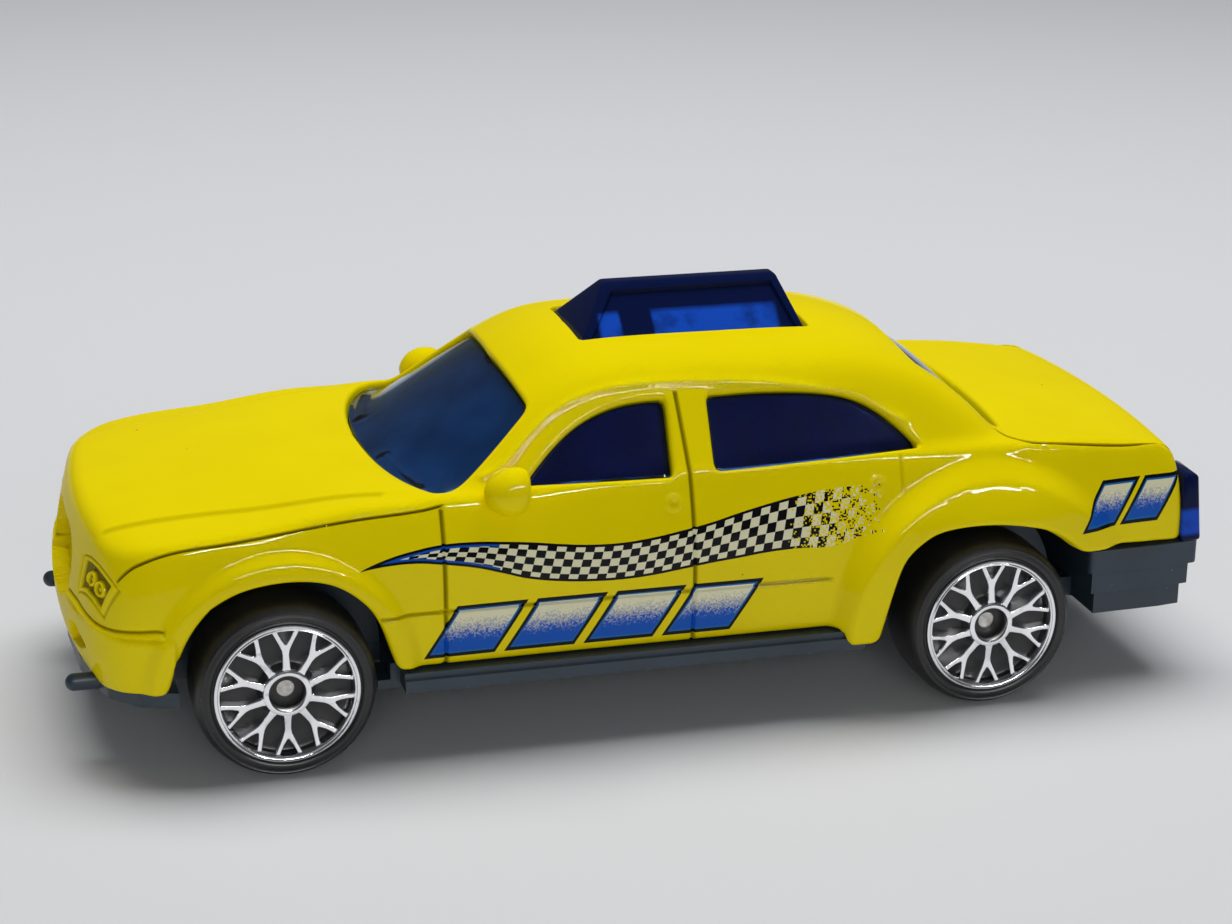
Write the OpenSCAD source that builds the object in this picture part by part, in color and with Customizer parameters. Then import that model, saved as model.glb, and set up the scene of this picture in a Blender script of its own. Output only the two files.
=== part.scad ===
// Die-cast toy taxi. A hollow metal body casting is riveted to a moulded base. A tinted
// window insert with the roof sign and tail lamps is held under the casting, and two steel
// axles lie in the base and carry four one-piece wheels that turn freely.
// Millimetres. +X is the front of the car, +Y its left side, +Z up, the ground is z = 0.
// Heights named *_h are measured up from the axle line, so a bigger wheel lifts the car.

/* [Overall] */
// Distance between the two axles
wheelbase = 46.2; // [42:0.1:56]
// From the front axle to the nose of the body
front_overhang = 12.6; // [12:0.1:16]
// From the rear axle to the tail face of the body
rear_overhang = 15.5; // [15:0.1:19]
// Width across the fenders
body_width = 31.2; // [27:0.1:38]
// Height of the roof above the axle line
roof_h = 18.0; // [17:0.1:22]

/* [Body casting] */
// Thickness of the cast wall
wall = 1.3; // [1:0.05:1.6]
// How far the fenders stand out from the doors
flare_depth = 1.5; // [1:0.1:2]
// Height of the belt line, where the glass begins, above the axle line
belt_h = 11.2; // [10.5:0.1:12]
// Height of the casting's lower edge above the axle line
rocker_h = 0.2; // [0:0.1:0.6]
// Height of the casting's lower edge behind the rear wheels
tail_edge_h = 3.8; // [3:0.1:4.5]
// Gap between a tyre and its wheel arch
arch_gap = 1.2; // [0.8:0.1:1.5]
// Width of the fender lip around an arch
arch_lip = 1.9; // [1:0.1:2.2]
// Width of the B pillar
pillar_w = 2.4; // [1.5:0.1:3]
// Radius of the mirror heads
mirror_r = 1.7; // [1.2:0.1:2]
// Radius of the two cast rivet posts
rivet_r = 1.6; // [1.2:0.1:2]
// Radius of the spun rivet heads
rivet_head_r = 2.2; // [2.1:0.1:2.6]

/* [Roof sign] */
// Length of the roof sign at its base
sign_l = 15.4; // [12:0.1:18]
// Width of the roof sign at its base
sign_w = 8.2; // [5:0.1:10]
// Height of the roof sign above the roof
sign_h = 2.7; // [2:0.1:4]

/* [Windows] */
// Thickness of the glazing
glass = 1.0; // [0.6:0.05:1.3]
// Assembly gap between the insert, the base and the casting
fit_gap = 0.1; // [0.05:0.01:0.2]

/* [Wheels] */
// Radius of a tyre
wheel_r = 5.67; // [4.8:0.01:6.9]
// Width of a tyre
wheel_w = 5.2; // [4.2:0.1:6.2]
// Outer radius of the bright rim ring
rim_r = 4.5; // [3.8:0.05:4.7]
// How deep the wheel face is dished
dish = 1.1; // [0.6:0.1:1.6]
// Number of Y-shaped spokes
spokes = 10; // [6:1:12]
// Radius of the recess round the axle end
hub_r = 1.2; // [1:0.05:1.5]
// Sideways play between a wheel and the base
side_play = 0.3; // [0.2:0.05:0.6]

/* [Axles] */
// Radius of the axle wire
axle_r = 0.5; // [0.4:0.01:0.65]
// Radius of the upset head at each end of an axle
axle_head_r = 0.75; // [0.66:0.01:0.9]
// Running clearance between an axle and a wheel
run_gap = 0.05; // [0.02:0.01:0.1]

/* [Base] */
// Thickness of the floor
floor_t = 1.3; // [1:0.05:1.6]
// Half width of the blocks that hold the axles
block_half_w = 9.0; // [7:0.1:9.3]
// Length of an axle block along the car
block_l = 8.4; // [6:0.1:9]
// Depth of the axle blocks below the axle line
block_drop = 2.1; // [1.6:0.1:3]
// Radius of the recesses round the rivets
recess_r = 3.2; // [3:0.05:3.6]
// How far the sill bars stand out past the doors
sill_out = 0.5; // [0.2:0.05:0.9]

/* [Hidden] */
$fn = 48;
far = 60;

// Stations along the car: the overall box is centred on x = 0
bumper_proud = 0.5;
lamp_proud = 0.5;
tab_proud = 0.3;
half_l = (tab_proud + front_overhang + wheelbase + rear_overhang + bumper_proud) / 2;
nose_x = half_l - tab_proud;
front_axle_x = nose_x - front_overhang;
rear_axle_x = front_axle_x - wheelbase;
tail_x = rear_axle_x - rear_overhang;
cowl_x = front_axle_x - 7.2;
roof_front_x = front_axle_x - 17.8;
roof_rear_x = rear_axle_x + 3.4;
deck_x = rear_axle_x - 5.0;
pillar_x = (front_axle_x + rear_axle_x) / 2 - 3.6;

// Widths
half_w = body_width / 2;
door_y = half_w - flare_depth;
belt_y = door_y - 1.2;
rail_y = belt_y - 2.6;
roof_y = rail_y - 2.6;
tail_y = door_y - 0.9;
nose_y = door_y - 3.0;

// Heights above the axle line
hood_h = 9.9;
deck_h = 10.6;
rail_h = roof_h - 2.2;
glass_top_h = roof_h - 2.8;
glass_bottom_h = belt_h + 0.1;
floor_h = rocker_h - floor_t;

// Wheels and axles
arch_r = wheel_r + arch_gap;
wheel_out_y = half_w - 0.1;
wheel_in_y = wheel_out_y - wheel_w;
bore_r = axle_r + run_gap;
face_y = wheel_out_y - dish;
head_t = 0.5;
end_play = 0.1;
post_shoulder = 0.8;

// Rivet posts, one under the hood and one under the trunk
front_rivet_x = front_axle_x + 6.0;
rear_rivet_x = rear_axle_x - 7.5;

// Roof sign and the tail lamps' notch
sign_front_x = roof_front_x - 4.0;
lamp_top_h = deck_h - 1.2;
lamp_x = tail_x + 2.4;
lamp_y = tail_y - 2.6;

// Lip and tabs under the nose
chin_x = front_axle_x + wheel_r + 0.7;
tab_r = 0.55;
tab_y = block_half_w + 0.1;
liner_l = 1.2;
liner_h = 1.9;

// Relief under the base
mark_h = 0.4;
rib_w = 0.7;
rail_in_y = 5.0;
engine_x = front_axle_x - block_l / 2;
panel_x0 = rear_axle_x + 10.8;
panel_x1 = front_axle_x - 9.4;
panel_y = 11.6;

// Rounds the corners of the flat shape inside it
module soft(r) {
    offset(r = r, $fn = 20) offset(delta = -r) children();
}

// Stands a flat (x, z) outline up and gives it the width from y0 to y1
module side_slab(y0, y1) {
    translate([0, y1, 0]) rotate([90, 0, 0]) linear_extrude(y1 - y0) children();
}

// Stands a flat (y, z) outline up and gives it the length from x0 to x1
module end_slab(x0, x1) {
    translate([x0, 0, 0]) rotate([90, 0, 90]) linear_extrude(x1 - x0) children();
}

// A rod along Y between two ends
module cross_rod(r, y0, y1, x = 0, h = 0) {
    translate([x, y0, h]) rotate([-90, 0, 0]) cylinder(r = r, h = y1 - y0);
}

// A rod along X between two ends
module long_rod(r, x0, x1, y = 0, h = 0) {
    translate([x0, y, h]) rotate([0, 90, 0]) cylinder(r = r, h = x1 - x0);
}

// A piece, or an (x, y) outline, on the left and its mirror image on the right
module both_sides() {
    children();
    mirror([0, 1, 0]) children();
}

// The same for a (y, z) outline
module both_halves() {
    children();
    mirror([1, 0, 0]) children();
}

// ---- Outlines of the body --------------------------------------------------

module lower_side_outline() {
    polygon([
        [nose_x - 2.0, rocker_h], [nose_x - 0.4, rocker_h + 2.4], [nose_x, rocker_h + 5.8],
        [nose_x - 1.1, hood_h + 0.4], [nose_x - 3.2, hood_h + 0.8], [cowl_x, belt_h],
        [deck_x, belt_h], [tail_x + 5.0, deck_h + 0.3], [tail_x + 1.0, deck_h - 0.5],
        [tail_x, deck_h - 2.0], [tail_x + 0.2, tail_edge_h], [rear_axle_x - arch_r - 0.6, tail_edge_h],
        [rear_axle_x - arch_r + 0.3, rocker_h], [rear_axle_x, rocker_h]
    ]);
}

module plan_outline() {
    both_sides() polygon([
        [nose_x, 0], [nose_x - 0.3, nose_y - 5], [nose_x - 1.6, nose_y], [nose_x - 3.6, door_y - 0.8],
        [nose_x - 6.2, door_y], [rear_axle_x - 8.5, door_y], [tail_x + 2.4, tail_y],
        [tail_x + 0.5, tail_y - 0.8], [tail_x, tail_y - 4.5], [tail_x, 0]
    ]);
}

module lower_section() {
    both_halves() polygon([
        [0, rocker_h - 1], [door_y - 0.4, rocker_h - 1], [door_y, rocker_h + 3.4],
        [door_y - 0.3, hood_h - 1.5], [belt_y + 0.3, hood_h], [belt_y, belt_h], [0, belt_h + 1]
    ]);
}

module cabin_side_outline(depth) {
    polygon([
        [cowl_x, belt_h - depth], [cowl_x, belt_h - 1], [roof_front_x + 2.0, rail_h + 0.8], [roof_front_x - 1.0, roof_h - 0.3],
        [roof_front_x - 6.0, roof_h], [roof_rear_x + 5.0, roof_h - 0.3], [roof_rear_x, rail_h + 0.4],
        [deck_x, belt_h - 1], [deck_x, belt_h - depth]
    ]);
}

module cabin_section(depth) {
    both_halves() polygon([
        [0, belt_h - depth], [belt_y, belt_h - depth], [belt_y, belt_h], [rail_y, rail_h], [roof_y, roof_h - 0.5],
        [0, roof_h]
    ]);
}

module cabin_plan() {
    both_sides() polygon([
        [cowl_x, 0], [cowl_x - 3.2, belt_y], [deck_x + 1.2, belt_y], [deck_x, belt_y - 4], [deck_x, 0]
    ]);
}

// The body's outer form, or the same form drawn in by some depth
module body_form(inset) {
    intersection() {
        side_slab(-far, far) offset(delta = -inset) soft(0.8) lower_side_outline();
        linear_extrude(far) offset(delta = -inset) soft(1.2) plan_outline();
        end_slab(-far, far) offset(delta = -inset) lower_section();
    }
}

// The cabin's outer form, or the same form drawn in. It starts some depth below the belt
// line, so that the cabin's inside opens into the body's inside.
module cabin_form(inset, depth = 4) {
    intersection() {
        side_slab(-far, far) offset(delta = -inset) soft(1.0) cabin_side_outline(depth);
        linear_extrude(far) offset(delta = -inset) cabin_plan();
        end_slab(-far, far) offset(delta = -inset) cabin_section(depth);
    }
}

// ---- Openings ----------------------------------------------------------------

module front_glass_outline() {
    polygon([
        [front_axle_x - 15.6, glass_bottom_h], [front_axle_x - 18.6, glass_bottom_h + 2.7],
        [roof_front_x - 3.6, glass_top_h], [pillar_x + pillar_w / 2, glass_top_h],
        [pillar_x + pillar_w / 2, glass_bottom_h]
    ]);
}

module rear_glass_outline() {
    polygon([
        [pillar_x - pillar_w / 2, glass_bottom_h], [pillar_x - pillar_w / 2, glass_top_h],
        [roof_rear_x + 8.0, glass_top_h - 0.1], [roof_rear_x + 4.4, glass_top_h - 1.2],
        [roof_rear_x + 1.8, glass_bottom_h + 0.6], [roof_rear_x + 1.8, glass_bottom_h]
    ]);
}

// Cutters for every window, shrunk by some gap so that the glazing uses them too
module side_windows(gap) {
    both_sides() side_slab(rail_y - 2.5, far) offset(delta = -gap) soft(0.5) {
        front_glass_outline();
        rear_glass_outline();
    }
}

module end_window(x0, x1, top_y, bottom_y, gap) {
    end_slab(x0, x1) offset(delta = -gap) soft(0.8) polygon([
        [-bottom_y, belt_h + 0.1], [bottom_y, belt_h + 0.1], [top_y, glass_top_h + 0.5],
        [-top_y, glass_top_h + 0.5]
    ]);
}

module windscreen(gap) {
    end_window(roof_front_x, far, rail_y - 1.9, belt_y - 1.5, gap);
}

module rear_window(gap) {
    end_window(-far, roof_rear_x, rail_y - 2.2, belt_y - 3.5, gap);
}

module all_windows(gap) {
    side_windows(gap);
    windscreen(gap);
    rear_window(gap);
}

module sign_slot(gap) {
    translate([sign_front_x - sign_l / 2, 0, roof_h - 5])
        linear_extrude(8) offset(delta = gap) square([sign_l, sign_w], center = true);
}

// The notch at each rear corner that the tail lamps fill
module lamp_notch(gap) {
    both_sides() translate([-far, lamp_y + gap, tail_edge_h - 1])
        cube([far + lamp_x - gap, far, lamp_top_h - tail_edge_h + 1 - gap]);
}

module wheel_arches(r) {
    for (x = [front_axle_x, rear_axle_x]) both_sides() cross_rod(r, wheel_in_y - 1.2, far, x);
}

// ---- Body casting --------------------------------------------------------------

// One fender's lip: a ring round the arch that swells out to the full width. Behind the
// axle it ends at its own height.
module fender_flare(x, back_h) {
    intersection() {
        side_slab(door_y - wall, half_w) intersection() {
            translate([x, 0]) circle(r = arch_r + arch_lip);
            union() {
                translate([x, rocker_h]) square([far, hood_h - rocker_h]);
                translate([x - far, back_h]) square([far, hood_h - back_h]);
            }
        }
        translate([x, half_w - far, -far / 2]) cylinder(r = far, h = far, $fn = 160);
    }
}

module mirror_head() {
    x = front_axle_x - 13.8;
    translate([x, belt_y + 0.7, belt_h + 0.7]) sphere(r = mirror_r, $fn = 32);
}

// A post cast under the lid of the body, shouldered on the base and spun over below it
module rivet_post(x, top_h) {
    translate([x, 0, floor_h + floor_t + fit_gap])
        cylinder(r = rivet_r + post_shoulder, h = top_h - floor_h - floor_t - fit_gap);
    translate([x, 0, floor_h]) cylinder(r = rivet_r, h = floor_t + 1);
    translate([x, 0, floor_h - 0.5]) cylinder(r = rivet_head_r, h = 0.5);
}

// Moulded face: the open grille, the intake and the fog-lamp recesses
module nose_recesses() {
    d = wall * 0.55;
    end_slab(nose_x - d, far) {
        translate([0, hood_h - 3.6]) soft(1.0) square([9.6, 5.2], center = true);
        translate([0, rocker_h + 2.1]) square([9.0, 1.6], center = true);
        both_halves() translate([8.0, rocker_h + 2.1]) circle(r = 0.9);
    }
}

module grille_bar() {
    translate([nose_x - wall, -5, hood_h - 4.0]) cube([wall * 0.7, 10, 0.8]);
}

module body_casting() {
    color("gold") translate([0, 0, wheel_r]) {
        difference() {
            union() {
                body_form(0);
                cabin_form(0, 1.5);
                both_sides() {
                    fender_flare(front_axle_x, rocker_h);
                    fender_flare(rear_axle_x, tail_edge_h);
                    mirror_head();
                }
            }
            body_form(wall);
            cabin_form(wall);
            // the casting is open underneath
            intersection() {
                translate([-far, -far, rocker_h - 2]) cube([2 * far, 2 * far, tail_edge_h + 3]);
                linear_extrude(far, center = true) offset(delta = -wall) soft(1.2) plan_outline();
            }
            all_windows(0);
            sign_slot(fit_gap);
            lamp_notch(0);
            wheel_arches(arch_r);
            nose_recesses();
        }
        rivet_post(front_rivet_x, hood_h);
        rivet_post(rear_rivet_x, deck_h);
        grille_bar();
    }
}

// ---- Window insert ---------------------------------------------------------------

module roof_sign() {
    x0 = sign_front_x - sign_l;
    intersection() {
        side_slab(-sign_w / 2, sign_w / 2) polygon([
            [x0, roof_h - 3], [sign_front_x, roof_h - 3], [sign_front_x, roof_h - 0.6],
            [sign_front_x - 2.0, roof_h + sign_h], [x0 + 1.2, roof_h + sign_h], [x0, roof_h - 0.8]
        ]);
        end_slab(-far, far) polygon([
            [-sign_w / 2, roof_h - 3], [sign_w / 2, roof_h - 3], [sign_w / 2, roof_h - 0.6],
            [sign_w * 0.15, roof_h + sign_h], [-sign_w * 0.15, roof_h + sign_h], [-sign_w / 2, roof_h - 0.6]
        ]);
    }
}

module window_insert() {
    shell = wall + fit_gap;
    color("darkblue") translate([0, 0, wheel_r]) {
        difference() {
            union() {
                // a thin hood under the roof
                cabin_form(shell);
                // panes that stand in the window openings
                intersection() {
                    cabin_form(0.3);
                    all_windows(fit_gap);
                }
            }
            cabin_form(shell + glass);
            translate([-far, -far, -far]) cube([2 * far, 2 * far, far + belt_h - 0.6]);
        }
        roof_sign();
        lamp_tongue();
        tail_lamps();
    }
}

// A tongue under the trunk lid that carries the lamps and is located by the rear post
module lamp_tongue() {
    top_h = deck_h - 0.9 - wall - fit_gap;
    bottom_h = top_h - glass;
    x0 = tail_x + wall;
    x1 = deck_x + 5.0;
    difference() {
        intersection() {
            union() {
                translate([x0, -lamp_y + 1, bottom_h]) cube([x1 - x0, 2 * lamp_y - 2, glass]);
                translate([x1 - glass, -4, bottom_h]) cube([glass, 8, belt_h - bottom_h]);
                translate([x0, -lamp_y - 1, bottom_h]) cube([1.5, 2 * lamp_y + 2, glass]);
            }
            linear_extrude(far) offset(delta = -wall - fit_gap) soft(1.2) plan_outline();
        }
        translate([rear_rivet_x, 0, 0]) cylinder(r = rivet_r + post_shoulder + fit_gap, h = far);
    }
}

module tail_lamps() {
    intersection() {
        translate([-lamp_proud, 0, 0]) body_form(0);
        lamp_notch(fit_gap);
        translate([-far, -far, tail_edge_h + fit_gap]) cube(2 * far);
    }
}

// ---- Base ----------------------------------------------------------------------

module floor_plan() {
    x0 = rear_axle_x + arch_r;
    x1 = front_axle_x - arch_r;
    spine_x0 = tail_x + 1.5;
    translate([spine_x0, -block_half_w]) square([chin_x + 1 - spine_x0, 2 * block_half_w]);
    translate([x0, -door_y + wall + fit_gap])
        square([x1 - x0, 2 * (door_y - wall - fit_gap)]);
}

module base_plate() {
    color("slategray") translate([0, 0, wheel_r]) {
        difference() {
            union() {
                translate([0, 0, floor_h]) linear_extrude(floor_t) floor_plan();
                sill_bars();
                axle_block(front_axle_x);
                axle_block(rear_axle_x);
                chin();
                rear_bumper();
                driveline();
                floor_marks();
            }
            for (x = [front_axle_x, rear_axle_x]) axle_slot(x);
            for (x = [front_rivet_x, rear_rivet_x]) rivet_seat(x);
            tail_slots();
        }
    }
}

// Bars along the bottom of the doors; the casting's edge stands on them
module sill_bars() {
    x0 = rear_axle_x + arch_r + 1.6;
    x1 = front_axle_x - arch_r - 0.6;
    both_sides() translate([x0, 0, floor_h]) {
        translate([0, door_y - wall - 1, 0]) cube([x1 - x0, wall + 1 + sill_out, floor_t * 0.6]);
        translate([0, door_y - wall - 1, 0]) cube([x1 - x0, wall + 1 + sill_out * 0.5, floor_t - fit_gap]);
    }
}

module axle_block(x) {
    translate([x - block_l / 2, -block_half_w, -block_drop])
        cube([block_l, 2 * block_half_w, block_drop + axle_r + 1.4]);
}

// A slot open to the top, with a round bottom in which the axle lies
module axle_slot(x) {
    cross_rod(bore_r, -far, far, x);
    translate([x - bore_r, -far, 0]) cube([2 * bore_r, 2 * far, far]);
}

module rivet_seat(x) {
    translate([x, 0, floor_h + floor_t]) cylinder(r = rivet_r + post_shoulder + fit_gap, h = far);
    translate([x, 0, -far]) cylinder(r = rivet_r + run_gap, h = 2 * far);
    translate([x, 0, -far]) cylinder(r = recess_r, h = far + floor_h);
}

// The lip under the nose, with two round-ended locating tabs
module chin() {
    intersection() {
        translate([chin_x, -far, floor_h]) cube([far, 2 * far, floor_t - fit_gap - 0.2]);
        linear_extrude(far, center = true) offset(delta = -0.6) soft(1.2) plan_outline();
    }
    both_sides() {
        // the liner that stands just ahead of the tyre
        translate([chin_x, tab_y, floor_h]) cube([liner_l, 2.8, liner_h]);
        long_rod(tab_r, chin_x + 1, nose_x + tab_proud - tab_r, tab_y, floor_h + tab_r);
        translate([nose_x + tab_proud - tab_r, tab_y, floor_h + tab_r]) sphere(r = tab_r, $fn = 24);
    }
}

// The bumper's plan, drawn in by some depth, behind the station x1
module bumper_plan(x1, inset) {
    back_x = tail_x - bumper_proud;
    offset(delta = -inset) soft(0.4) both_sides() polygon([
        [x1, 0], [x1, tail_y + 0.3], [tail_x + 2.0, tail_y + 0.1], [back_x + 0.4, tail_y - 0.2],
        [back_x + 0.1, tail_y - 0.7], [back_x, tail_y - 3], [back_x, 0]
    ]);
}

// The rear bumper: a hollow tub whose outside is ribbed in steps
module rear_bumper() {
    x1 = rear_axle_x - arch_r - 0.8;
    steps = 3;
    step_h = (tail_edge_h - fit_gap - floor_h) / steps;
    difference() {
        for (i = [0:steps - 1])
            translate([0, 0, floor_h + i * step_h]) linear_extrude(step_h)
                bumper_plan(x1, 0.45 * (steps - 1 - i));
        translate([0, 0, floor_h + floor_t]) linear_extrude(far) bumper_plan(x1, 2.0);
    }
}

// A length of the driveline whose lowest line lies on the level of the axle blocks or above
module drive_rod(r, x0, x1, lift = 0) {
    intersection() {
        long_rod(r, x0, x1, 0, r - block_drop + lift);
        translate([-far, -far, floor_h - far]) cube([2 * far, 2 * far, far + floor_t / 2]);
    }
}

// Engine, gearbox, propeller shaft and frame rails in relief under the floor
module driveline() {
    drive_rod(0.9, rear_axle_x, engine_x, 0.2);
    drive_rod(2.2, engine_x - 7.5, engine_x);
    drive_rod(1.6, engine_x - 14, engine_x - 7.5, 0.1);
    for (i = [0:2]) drive_rod(2.0 - 0.3 * i, engine_x - 9.6 - 2.2 * i, engine_x - 9.0 - 2.2 * i);
    drive_rod(1.3, rear_axle_x + 8, rear_axle_x + 9, 0.1);
    drive_rod(1.3, rear_axle_x + 15, rear_axle_x + 16, 0.1);
}

// A rib under the floor between two (x, y) places
module floor_rib(a, b, w = rib_w) {
    along = (b - a) / norm(b - a) * w / 2;
    across = [-along[1], along[0]];
    translate([0, 0, floor_h - mark_h]) linear_extrude(mark_h + 0.2)
        polygon([a - along + across, a - along - across, b + along - across, b + along + across]);
}

// A low bar under the floor that is rounded like a pill
module floor_pill(x0, x1, y) {
    long_rod(0.65, x0, x1, y, floor_h);
    for (x = [x0, x1]) translate([x, y, floor_h]) sphere(r = 0.65, $fn = 24);
}

// Frame rails, suspension arms, corner pads with pegs, and the bars round the two rivets
module floor_marks() {
    both_sides() {
        floor_rib([engine_x - 7.3, rail_in_y], [engine_x, rail_in_y]);
        floor_rib([rear_axle_x + 8.0, rail_in_y + 0.6], [rear_axle_x + 14.6, rail_in_y + 0.6]);
        floor_rib([rear_axle_x + 8.0, rail_in_y + 0.6], [rear_axle_x + 5.6, rail_in_y - 0.9]);
        floor_rib([rear_axle_x - block_l / 2 - 0.2, rail_in_y], [rear_axle_x - 9.6, rail_in_y + 3.4], 0.5);
        floor_pill(front_rivet_x, front_rivet_x + 3.0, rail_in_y + 0.2);
        for (x = [panel_x0 - 1.9, panel_x1 + 1.9]) {
            translate([x - 1.45, 9.75, floor_h - mark_h]) cube([2.9, 2.9, mark_h + 0.2]);
            translate([x, 11.1, floor_h - 2 * mark_h]) cylinder(r = 0.5, h = 1, $fn = 20);
        }
        floor_rib([panel_x0, panel_y], [panel_x1, panel_y], 0.4);
    }
    for (x = [rear_axle_x + 5.6, rear_axle_x + 7.4]) floor_rib([x, -rail_in_y + 0.6], [x, rail_in_y - 0.6]);
    floor_rib([nose_x - 2.6, -8.0], [nose_x - 2.6, 8.0], 1.2);
}

// Two slots pressed into the underside of the rear bumper
module tail_slots() {
    both_sides() translate([tail_x + 1.8, rail_in_y - 0.9, floor_h - 0.1]) cube([3.6, 1.1, 0.6]);
}

// ---- Axles and wheels ------------------------------------------------------------

module axle(x) {
    head_y = face_y - head_t;
    color("silver") translate([0, 0, wheel_r]) {
        cross_rod(axle_r, -head_y, head_y, x);
        both_sides() cross_rod(axle_head_r, head_y, face_y, x);
    }
}

module front_axle() {
    axle(front_axle_x);
}

module rear_axle() {
    axle(rear_axle_x);
}

// Y-shaped spoke lying along X, from the hub ring to the rim
module spoke_outline() {
    fork = 0.55 * rim_r;
    a = 180 / spokes;
    translate([hub_r + 0.2, -0.2]) square([fork - hub_r, 0.4]);
    for (s = [-1, 1]) {
        polygon([
            [fork, -0.2], [fork + 0.3, 0.2], [(rim_r - 0.3) * cos(a * 0.6), s * (rim_r - 0.3) * sin(a * 0.6) + 0.2],
            [(rim_r - 0.3) * cos(a * 0.6), s * (rim_r - 0.3) * sin(a * 0.6) - 0.2]
        ]);
    }
}

// One wheel with its face towards +Y
module wheel(x) {
    color("dimgray") translate([x, 0, wheel_r]) difference() {
        union() {
            translate([0, wheel_out_y, 0]) rotate([90, 0, 0]) rotate_extrude($fn = 96) polygon([
                [0, dish], [rim_r - 0.3, dish], [rim_r - 0.3, 0.25], [rim_r, 0.25], [rim_r, 0.1], [rim_r + 0.4, 0],
                [wheel_r - 0.4, 0], [wheel_r, 0.4], [wheel_r, wheel_w - 0.3], [wheel_r - 0.3, wheel_w],
                [hub_r + 0.6, wheel_w], [hub_r + 0.6, wheel_in_y - block_half_w + wheel_w - side_play],
                [0, wheel_in_y - block_half_w + wheel_w - side_play]
            ]);
            translate([0, face_y + 0.5, 0]) rotate([90, 0, 0]) {
                for (i = [0:spokes - 1]) rotate(i * 360 / spokes) linear_extrude(1) spoke_outline();
                linear_extrude(1) circle(r = hub_r + 0.35);
            }
        }
        cross_rod(bore_r, -far, far);
        cross_rod(hub_r, face_y - head_t - end_play, far);
    }
}

module front_left_wheel() {
    wheel(front_axle_x);
}

module front_right_wheel() {
    mirror([0, 1, 0]) wheel(front_axle_x);
}

module rear_left_wheel() {
    wheel(rear_axle_x);
}

module rear_right_wheel() {
    mirror([0, 1, 0]) wheel(rear_axle_x);
}

body_casting();
window_insert();
base_plate();
front_axle();
rear_axle();
front_left_wheel();
front_right_wheel();
rear_left_wheel();
rear_right_wheel();
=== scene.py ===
# %% [markdown]
# # A toy taxi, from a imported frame
# A die-cast toy car has few pieces: a painted metal shell, one tinted plastic moulding that is
# both windows and roof sign, a plastic base, two pins and four wheels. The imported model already
# says where each piece is and which ones turn. This lesson builds the looks around it.
# Lengths are written in millimetres, as on the maker's drawing, and become metres once, when a
# mesh is made.

# %% The frame
import math

import bmesh
import bpy
import numpy as np
from mathutils import Matrix, Vector
from mathutils.geometry import delaunay_2d_cdt


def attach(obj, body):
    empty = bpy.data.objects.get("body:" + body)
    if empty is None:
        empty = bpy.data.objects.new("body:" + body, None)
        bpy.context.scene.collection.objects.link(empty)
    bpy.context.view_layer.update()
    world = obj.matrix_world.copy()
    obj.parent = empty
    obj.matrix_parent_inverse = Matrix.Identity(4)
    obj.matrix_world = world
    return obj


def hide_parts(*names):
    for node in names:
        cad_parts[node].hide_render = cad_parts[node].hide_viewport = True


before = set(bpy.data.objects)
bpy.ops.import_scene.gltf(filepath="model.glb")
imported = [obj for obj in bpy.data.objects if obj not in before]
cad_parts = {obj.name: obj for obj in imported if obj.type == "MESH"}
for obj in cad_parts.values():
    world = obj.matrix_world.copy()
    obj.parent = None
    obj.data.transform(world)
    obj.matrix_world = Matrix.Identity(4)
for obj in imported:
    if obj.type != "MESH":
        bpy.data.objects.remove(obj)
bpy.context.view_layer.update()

MM = 0.001


def put(name, data):
    """A new object in the scene."""
    obj = bpy.data.objects.new(name, data)
    bpy.context.scene.collection.objects.link(obj)
    return obj


# %% [markdown]
# ## Camera
# A toy this small is seen from close above with a long lens, so that it isn't stretched. The
# camera could be aimed with a constraint; three angles are plainer, and say exactly how it turns.

# %% Camera
CAMERA_AT = Vector((46.659, 167.118, 72.630)) * MM
CAMERA_YAW, CAMERA_PITCH, CAMERA_ROLL = 0.273759, 0.328159, 0.0118372
CAMERA_LENS = 79.35

camera_data = bpy.data.cameras.new("camera")
camera_data.lens = CAMERA_LENS
camera_data.clip_start = 0.005
camera = put("camera", camera_data)
camera.matrix_world = (Matrix.Translation(CAMERA_AT) @ Matrix.Rotation(math.pi - CAMERA_YAW, 4, "Z")
                       @ Matrix.Rotation(math.pi / 2 - CAMERA_PITCH, 4, "X")
                       @ Matrix.Rotation(CAMERA_ROLL, 4, "Z"))
bpy.context.scene.camera = camera
print("camera looks down by", round(math.degrees(CAMERA_PITCH), 1), "degrees")

# %% [markdown]
# ## Floor and light
# Studio light for a glossy toy is one large soft box above and behind, which throws the shadow
# towards the camera, and a narrow strip on the near side. The strip's reflection runs along the
# fenders and the roof's edge as a thin bright line, and that line is what shows their shape. A weak
# low box keeps the near side from going dark. Each lamp does one job: the strip is left out of the
# diffuse light and the boxes out of the reflections. The floor is a pale matt sheet.

# %% Floor and light
def soft_box(name, at, aim, size, power):
    data = bpy.data.lights.new(name, "AREA")
    data.shape = "RECTANGLE"
    data.size, data.size_y = size
    data.energy = power
    lamp = put(name, data)
    lamp.location = at
    lamp.rotation_euler = (Vector(aim) - Vector(at)).to_track_quat("-Z", "Y").to_euler()
    return lamp


overhead = soft_box("overhead", (-0.04, -0.10, 0.42), (0, 0, 0), (0.42, 0.24), 1.90)
side_strip = soft_box("side_strip", (-0.10, 0.37, 0.275), (0, 0, 0.01), (0.40, 0.016), 1.7)
side_strip.visible_diffuse = False
low_fill = soft_box("low_fill", (0.08, 0.42, 0.14), (0, 0, 0.01), (0.30, 0.16), 0.45)
overhead.visible_glossy = low_fill.visible_glossy = False

world = bpy.data.worlds.new("studio")
bpy.context.scene.world = world
world.use_nodes = True
background = world.node_tree.nodes["Background"]
background.inputs["Color"].default_value = (0.80, 0.82, 0.86, 1)
background.inputs["Strength"].default_value = 0.10
bpy.context.scene.view_settings.view_transform = "Standard"

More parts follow.
